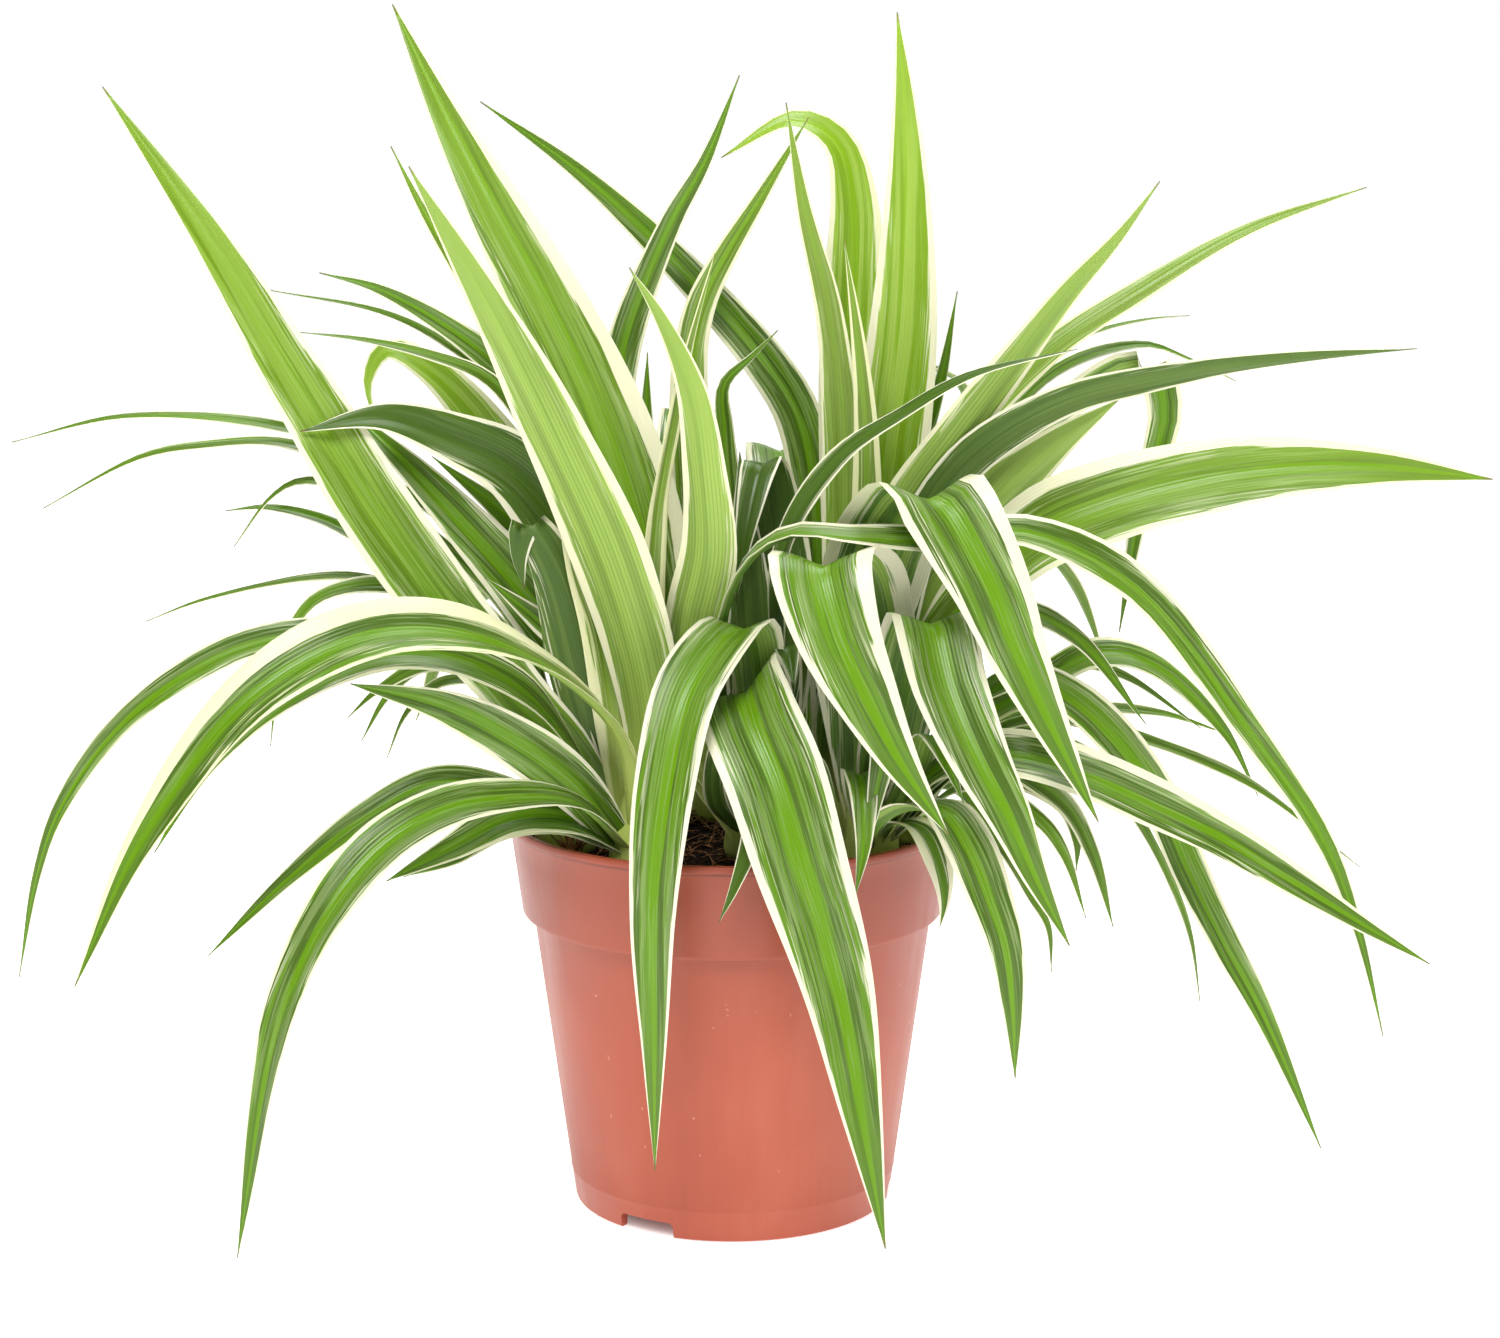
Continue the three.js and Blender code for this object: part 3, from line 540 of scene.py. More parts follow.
    def margins(self, add: Adder, carried: Carried, green: bpy.types.Node) -> bpy.types.Node:
        """Lay the cream margins and the pale base over the green.

        Args:
            add: Adds a node to the tree.
            carried: The values that the blade carries. Its ragged streaks set how far the cream
                reaches in, and its threads put loose cream lines beside the margin.
            green: The colour inside the margins.

        Returns:
            The node whose colour is the leaf's.
        """
        # The margin is narrow where the blade leaves its crown, and widens up the blade.
        widening = add(RANGE, carried["along"], 0.06, 0.34, 0.5, 1.0, **SOFT)
        margin = add(MATH, carried["margin"], widening, **TIMES)
        off_middle = add(MATH, carried["across"], **SIZE_OF)
        from_edge = add(MATH, 1.0, off_middle, **MINUS)
        # The margin is broader on one side of the blade, and its inner line is ragged.
        leaning = add(MATH, carried["lean"], 0.5, **MINUS)
        side = add(MATH, carried["across"], leaning, **TIMES)
        share = add(MATH, side, 2.0, 1.0, **TIMES_PLUS)
        reach = add(MATH, margin, share, **TIMES)
        swing = add(MATH, add(MATH, carried["ragged"], 0.5, **MINUS),
                    add(MATH, margin, 1.3, 0.1, **TIMES_PLUS), **TIMES)
        limit = add(MATH, reach, swing, **PLUS)
        pale = add(RANGE, add(MATH, from_edge, limit, **MINUS), 0.03, -0.01, **SOFT)
        beside = add(MATH, margin, 1.5, 0.26, **TIMES_PLUS)
        near = add(RANGE, from_edge, beside, margin, **SOFT)
        loose = add(MATH, near, add(RANGE, carried["thread"], 0.57, 0.62, 0.0, 0.7, **SOFT), **TIMES)
        cream_share = add(MATH, pale, loose, operation="MAXIMUM")
        # Young tissue near the crown is pale and yellow.
        youth = carried["youth"]
        reach_up = add(MATH, youth, 0.45, 0.1, **TIMES_PLUS)
        base = add(RANGE, carried["along"], reach_up, 0.03, **SOFT)
        buttery = add(MATH, base, add(MATH, youth, 0.55, **TIMES), operation="MAXIMUM")
        ivory = add(MIX, buttery, self.cream, self.butter, **COLOURS)
        rooted = add(MIX, add(MATH, base, 0.8, **TIMES), green, self.sheath, **COLOURS)
        whole = add(MIX, cream_share, rooted, ivory, **COLOURS)
        # The last few millimetres dry to brown.
        withered = add(RANGE, carried["along"], 0.985, 1.0, 0.0, 0.8)
        return add(MIX, withered, whole, self.dry, **COLOURS)


# ---- the blade sweep, in geometry nodes -----------------------------------------------------

CREASE_SOFTNESS = 0.006  # of the half width, squared
HALF_BOW = 0.3  # how far each half of the blade bows, of its width
EDGE_PHASE = 1.3  # sets the ripples of the two edges apart
LEAF_PHASE = 40.0  # sets the ripples of different leaves apart
END_TAPER = 60.0  # how quickly the blade reaches its full thickness from its ends
VEIN_SPREAD = 0.88  # how much of the blade's narrowing its veins follow
RIM_SHARE = 0.999  # from here outwards, of the half width, an edge is part of the rim
WELD = 1e-6  # metres


class NodeTree:
    """A geometry node tree under construction, with its named inputs."""

    def __init__(self, name: str) -> None:
        """Start the tree with its geometry in and out.

        Args:
            name: The tree's name.
        """
        self.tree = bpy.data.node_groups.new(name, "GeometryNodeTree")
        self.tree.interface.new_socket("Geometry", in_out="INPUT", socket_type="NodeSocketGeometry")
        self.tree.interface.new_socket("Geometry", in_out="OUTPUT", socket_type="NodeSocketGeometry")
        self.source = self.tree.nodes.new("NodeGroupInput")

    def take(self, name: str, kind: str) -> bpy.types.NodeSocket:
        """Declare a named input.

        Args:
            name: The input's name.
            kind: Its type, such as "Float".

        Returns:
            The socket that carries it inside the tree.
        """
        self.tree.interface.new_socket(name, in_out="INPUT", socket_type=f"NodeSocket{kind}")
        return self.source.outputs[name]

    def add(self, kind: str, *feeds: Any, **settings: Any) -> bpy.types.Node:
        """Add a node; the feeds and settings are those of add_node."""
        return add_node(self.tree, kind, *feeds, **settings)

    def finish(self, geometry: bpy.types.Node, material: bpy.types.NodeSocket) -> bpy.types.NodeTree:
        """End the tree: real geometry, with its material set.

        Args:
            geometry: The node that ends what the tree has made.
            material: The material input.

        Returns:
            The finished tree.
        """
        real = self.add("GeometryNodeRealizeInstances", geometry)
        covered = self.add("GeometryNodeSetMaterial", {"Geometry": real, "Material": material})
        self.add("NodeGroupOutput", covered)
        return self.tree


def grown(base: bpy.types.Object, tree: bpy.types.NodeTree, name: str, **values: Any) -> bpy.types.Object:
    """Run a geometry node tree on an object and keep the result as a plain mesh.

    Args:
        base: The object that feeds the tree; it is used up.
        tree: The node tree.
        name: The result's name.
        values: The tree's inputs, by name with underscores for spaces.

    Returns:
        The plain mesh object.
    """
    modifier = base.modifiers.new(tree.name, "NODES")
    modifier.node_group = tree
    identifiers = {item.name: item.identifier for item in tree.interface.items_tree
                   if item.in_out == "INPUT"}
    for key, value in values.items():
        modifier[identifiers[key.replace("_", " ")]] = value
    return baked(base, name)


def blade_tree() -> bpy.types.NodeTree:
    """Build the tree that sweeps a leaf blade along its midrib.

    The incoming mesh is a chain of stations, each with the way across the blade, the way up from
    its upper face, its share of the full width and how deep its channel is.

    Returns:
        The node tree.
    """
    nodes = NodeTree("blade_sweep")
    columns, rows = (nodes.take(name, "Int") for name in ("Columns", "Rows"))
    half_width, length, thickness, channel, ripple, waves, seed = (
        nodes.take(name, "Float")
        for name in ("Half Width", "Length", "Thickness", "Channel", "Ripple", "Waves", "Seed"))
    material = nodes.take("Material", "Material")

    add = nodes.add
    grid = add("GeometryNodeMeshGrid", 1.0, 1.0, columns, rows)
    index = add("GeometryNodeInputIndex")
    row = add(MATH, index, rows, operation="FLOORED_MODULO")
    counted = add(MATH, add(MATH, index, 0.5, **PLUS), rows, **OVER)
    column = add(MATH, counted, operation="FLOOR")
    even = add(MATH, column, add(MATH, columns, 1.0, **MINUS), **OVER)
    swing = add(MATH, add(MATH, even, 0.5, **MINUS), math.pi, **TIMES)
    across = add(MATH, swing, **SINE_OF)
    along = add(MATH, row, add(MATH, rows, 1.0, **MINUS), **OVER)

    # Each row takes its place, its directions and its width from its own station.
    carried = {"middle": (add("GeometryNodeInputPosition"), "FLOAT_VECTOR")}
    for name, kind in (("side", "FLOAT_VECTOR"), ("up", "FLOAT_VECTOR"),
                       ("share", "FLOAT"), ("fold", "FLOAT")):
        carried[name] = (add("GeometryNodeInputNamedAttribute", {"Name": name}, data_type=kind), kind)
    middle, side, up, share, fold = (
        add("GeometryNodeSampleIndex", nodes.source, value, row, data_type=kind, domain="POINT")
        for value, kind in carried.values())
    half = add(MATH, half_width, share, **TIMES)

    # Across the blade: a channel with a soft crease, each half bowed a little, the edges rippled.
    squared = add(MATH, across, across, **TIMES)
    soft = add(MATH, add(MATH, squared, CREASE_SOFTNESS, **PLUS), operation="SQRT")
    depth = add(MATH, add(MATH, half, channel, **TIMES), fold, **TIMES)
    trough = add(MATH, depth, add(MATH, soft, 2.0, -1.0, **TIMES_PLUS), **TIMES)
    arch = add(MATH, soft, add(MATH, 1.0, soft, **MINUS), **TIMES)
    bowed = add(MATH, arch, add(MATH, half, HALF_BOW, **TIMES), trough, **TIMES_PLUS)
    two_sides = add(MATH, add(MATH, across, operation="SIGN"), EDGE_PHASE, **TIMES)
    offset = add(MATH, seed, LEAF_PHASE, two_sides, **TIMES_PLUS)
    rolling = add(MATH, along, waves, **TIMES)
    turn = add(MATH, rolling, 2 * math.pi, offset, **TIMES_PLUS)
    envelope = add(MATH, add(MATH, along, math.pi, **TIMES), **SINE_OF)
    swell = add(MATH, add(MATH, squared, ripple, **TIMES), envelope, **TIMES)
    height = add(MATH, add(MATH, turn, **SINE_OF), swell, bowed, **TIMES_PLUS)

    # The blade thins to its rim and to both its ends.
    from_ends = add(MATH, along, add(MATH, 1.0, along, **MINUS), **TIMES)
    ends = add(MATH, add(MATH, from_ends, END_TAPER, **TIMES), 1.0, operation="MINIMUM")
    inward = add(MATH, add(MATH, 1.0, squared, **MINUS), 0.0, operation="MAXIMUM")
    rim = add(MATH, add(MATH, inward, operation="SQRT"), ends, **TIMES)
    body = add(MATH, rim, add(MATH, thickness, 0.5, **TIMES), **TIMES)
    outward = add(VECTOR, side, {"Scale": add(MATH, half, across, **TIMES)}, operation="SCALE")
    edge = add(VECTOR, middle, outward, **PLUS)

    # Veins run nearly parallel, so streaks close up less than the blade narrows.
    spread = add(MATH, share, VEIN_SPREAD, 1 - VEIN_SPREAD, **TIMES_PLUS)
    full_mm = add(MATH, half_width, 1 / MM, **TIMES)
    spread_mm = add(MATH, full_mm, spread, **TIMES)
    length_mm = add(MATH, length, 1 / MM, **TIMES)
    stored = {"across": across, "along": along,
              "across_mm": add(MATH, across, spread_mm, **TIMES),
              "along_mm": add(MATH, length_mm, along, **TIMES)}
    both = add("GeometryNodeJoinGeometry")
    for sign, upper in ((1.0, 1.0), (-1.0, 0.0)):
        lift = add(MATH, body, sign, height, **TIMES_PLUS)
        raised = add(VECTOR, up, {"Scale": lift}, operation="SCALE")
        place = add(VECTOR, edge, raised, **PLUS)
        sheet = add("GeometryNodeSetPosition", {"Geometry": grid, "Position": place})
        for name, value in {**stored, "face": upper}.items():
            sheet = add("GeometryNodeStoreNamedAttribute",
                        {"Geometry": sheet, "Name": name, "Value": value},
                        data_type="FLOAT", domain="POINT")
        if sign > 0:
            sheet = add("GeometryNodeFlipFaces", sheet)
        nodes.tree.links.new(sheet.outputs[0], both.inputs[0])
    closed = add("GeometryNodeMergeByDistance", {"Geometry": both, "Distance": WELD})
    rounded = add("GeometryNodeSetShadeSmooth", closed, domain="FACE")
    kept = add("GeometryNodeInputNamedAttribute", {"Name": "across"}, data_type="FLOAT")
    at_rim = add(MATH, add(MATH, kept, **SIZE_OF), RIM_SHARE, operation="GREATER_THAN")
    crisp = add("GeometryNodeSetShadeSmooth",
                {"Geometry": rounded, "Selection": at_rim, "Shade Smooth": False}, domain="EDGE")
    return nodes.finish(crisp, material)


# ---- leaves -------------------------------------------------------------------------------


@dataclass(frozen=True)
class Pattern:
    """How one kind of leaf is coloured: shares from 0 to 1."""

    margin: float
    stripe: float
    tone: float = 0.0
    youth: float = 0.0
    sun: float = 0.0
    shade: float = 0.0


class Kind(Enum):
    """The kinds of leaf on the plant, by age and light."""

    STRAP = Pattern(margin=0.15, stripe=1.0)
    BROAD = Pattern(margin=0.24, stripe=1.0, youth=0.1)
    BUTTERY = Pattern(margin=0.34, stripe=0.9, youth=0.6)
    CREAMY = Pattern(margin=0.5, stripe=0.4, shade=0.2)
    BRIGHT = Pattern(margin=0.22, stripe=1.0, tone=0.08, youth=0.25, sun=0.18)
    TALL = Pattern(margin=0.17, stripe=0.7, sun=0.42, shade=0.08)
    SUNLIT = Pattern(margin=0.22, stripe=0.9, youth=0.2, sun=0.66)
    PALE = Pattern(margin=0.19, stripe=0.5, tone=0.42, youth=0.4)
    YOUNG = Pattern(margin=0.4, stripe=0.6, tone=0.35, youth=0.9)
    SHADED = Pattern(margin=0.14, stripe=0.15, shade=0.72)
    GRASSY = Pattern(margin=0.2, stripe=0.3, tone=0.05)


@dataclass(frozen=True)
class Leaf:
    """One strap leaf: its kind, full width, midrib, and the way across it, in millimetres."""

    kind: Kind
    width: float
    across: list[Point]
    path: list[Point]
    widest: float = 0.42
    lean: float = 0.5
    ripple: float = 0.35
    fold: float = 1.0
    thickness: float = 0.55
    root_share: float = 0.26
    tip_power: float = 1.6
    tip_width: float = 0.3
    base_reach: float = 0.16
    base_fold: float = 1.6

    def width_share(self, along: float) -> float:
        """Say how wide the blade is at a place along it, as a share of its full width."""
        if along < self.widest:
            return self.root_share + (1 - self.root_share) * math.sin(math.pi / 2 * along / self.widest)
        return 1 - ((along - self.widest) / (1 - self.widest)) ** self.tip_power

    def across_at(self, along: float) -> Vector:
        """Blend the directions across the blade that its row gives."""
        hints = [Vector(hint).normalized() for hint in self.across]
        if len(hints) == 1:
            return hints[0]
        place = along * (len(hints) - 1)
        first = min(int(place), len(hints) - 2)
        return hints[first].lerp(hints[first + 1], place - first).normalized()

    def stations(self, root: Point, rows: int) -> tuple[bpy.types.Mesh, float]:
        """Lay the chain of stations that the blade is swept along.

        Args:
            root: Where the leaf starts inside its crown.
            rows: How many stations there are.

        Returns:
            The chain as a mesh in metres, and the leaf's length in millimetres.
        """
        midrib = CatmullPath([root, *self.path])
        points, sides, ups, shares, folds = [], [], [], [], []
        for i in range(rows):
            along = i / (rows - 1)
            point, heading = midrib.at(along)
            side = self.across_at(along)
            side = (side - heading * side.dot(heading)).normalized()
            points.append(point * MM)
            sides.extend(side)
            ups.extend(heading.cross(side))
            shares.append(max(self.width_share(along), self.tip_width / self.width))
            folds.append(self.fold * (1 + self.base_fold * max(0.0, 1 - along / self.base_reach)))
        mesh = bpy.data.meshes.new("stations")
        mesh.from_pydata(points, [(i, i + 1) for i in range(rows - 1)], [])
        store(mesh, "FLOAT_VECTOR", side=sides, up=ups)
        store(mesh, "FLOAT", share=shares, fold=folds)
        return mesh, midrib.length


def paint(mesh: bpy.types.Mesh, pattern: Pattern, seed: float, lean: float) -> None:
    """Store a leaf's colouring on its mesh for the leaf material.

    Args:
        mesh: The blade.
        pattern: How it is coloured.
        seed: A number from 0 to 1 that sets its streaks apart.
        lean: Which side has the broader margin, from 0 to 1.
    """
    count = len(mesh.vertices)
    store(mesh, "FLOAT_COLOR",
          pattern=[pattern.margin, pattern.stripe, pattern.tone, pattern.sun] * count,
          growth=[seed, lean, pattern.youth, pattern.shade] * count)


@dataclass
class LeafyShoot:
    """A crown and its leaves: one grown piece, standing in the soil."""

    name: str
    at: tuple[float, float]
    leaves: list[Leaf]
    radius: float = 8.5
    top: float = 26.0
    root_reach: float = 2.0
    root_height: float = 4.0
    rows: int = 52
    columns: int = 15
    channel: float = 0.18
    wave_mm: float = 60.0
    pinches: int = 3
    pinch_depth: float = 0.09

    def root(self, leaf: Leaf) -> Point:
        """Find where a leaf starts: off the crown's middle, on the way to its first point."""
        heading = math.atan2(leaf.path[0][1] - self.at[1], leaf.path[0][0] - self.at[0])
        return (self.at[0] + self.root_reach * math.cos(heading),
                self.at[1] + self.root_reach * math.sin(heading), SOIL_LEVEL + self.root_height)

    def blade(self, leaf: Leaf, tree: bpy.types.NodeTree, finish: bpy.types.Material,
              seed: float) -> bpy.types.Object:
        """Sweep one leaf.

        Args:
            leaf: The leaf.
            tree: The blade sweep.
            finish: The leaf material.
            seed: A number from 0 to 1 that sets its streaks and ripples apart.

        Returns:
            The blade as a plain mesh.
        """
        mesh, length = leaf.stations(self.root(leaf), self.rows)
        blade = grown(object_of("stations", mesh), tree, "blade", Columns=self.columns,
                      Rows=self.rows, Half_Width=leaf.width / 2 * MM, Length=length * MM,
                      Thickness=leaf.thickness * MM, Channel=self.channel, Ripple=leaf.ripple * MM,
                      Waves=1.5 + length / self.wave_mm, Seed=seed, Material=finish)
        paint(blade.data, leaf.kind.value, seed, leaf.lean)
        return blade

    def crown(self, finish: bpy.types.Material) -> bpy.types.Object:
        """Turn the pale stem that the leaf bases clasp, with shallow folds up its side."""
        steps = [(0.0, 0.0), (0.9, 0.0), (1.0, 0.12), (0.93, 0.35), (0.8, 0.6), (0.52, 0.82),
                 (0.3, 0.97), (0.0, 1.0)]
        profile = [(self.radius * share, SOIL_LEVEL - 0.4 + self.top * high) for share, high in steps]
        stem = turned(profile, 40, self.at)
        for vert in stem.verts:
            angle = math.atan2(vert.co.y - self.at[1] * MM, vert.co.x - self.at[0] * MM)
            pinch = 1 - self.pinch_depth * abs(math.sin(angle * self.pinches + self.at[0]))
            vert.co.x = self.at[0] * MM + (vert.co.x - self.at[0] * MM) * pinch
            vert.co.y = self.at[1] * MM + (vert.co.y - self.at[1] * MM) * pinch
        mesh = settled(stem, "crown")
        middle = Vector((self.at[0], self.at[1], 0)) * MM
        turns = [math.atan2(v.co.y - middle.y, v.co.x - middle.x) for v in mesh.vertices]
        store(mesh, "FLOAT", face=[0.4] * len(turns), across=[0.5 * math.sin(3 * t) for t in turns],
              along=[0.02] * len(turns), across_mm=[self.radius * math.sin(t) for t in turns],
              along_mm=[v.co.z / MM for v in mesh.vertices])
        paint(mesh, Kind.YOUNG.value, 0.37, 0.5)
        mesh.materials.append(finish)
        return object_of("crown", mesh)

    def build(self, tree: bpy.types.NodeTree, finish: bpy.types.Material) -> bpy.types.Object:
        """Grow the whole shoot and put it in the place of its plain solid.

        Args:
            tree: The blade sweep.
            finish: The leaf material.

        Returns:
            The shoot as one mesh.
        """
        dice = random.Random(self.name)
        pieces = [self.crown(finish)]
        for leaf in self.leaves:
            pieces.append(self.blade(leaf, tree, finish, dice.random()))
        shoot = fused(pieces, f"{self.name}_living")
        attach(shoot, "root")
        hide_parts(self.name)
        return shoot


# ---- the nine shoots ------------------------------------------------------------------------
# Each leaf: its kind, its full width, the way across it from root to tip, and the points that
# its midrib passes through.

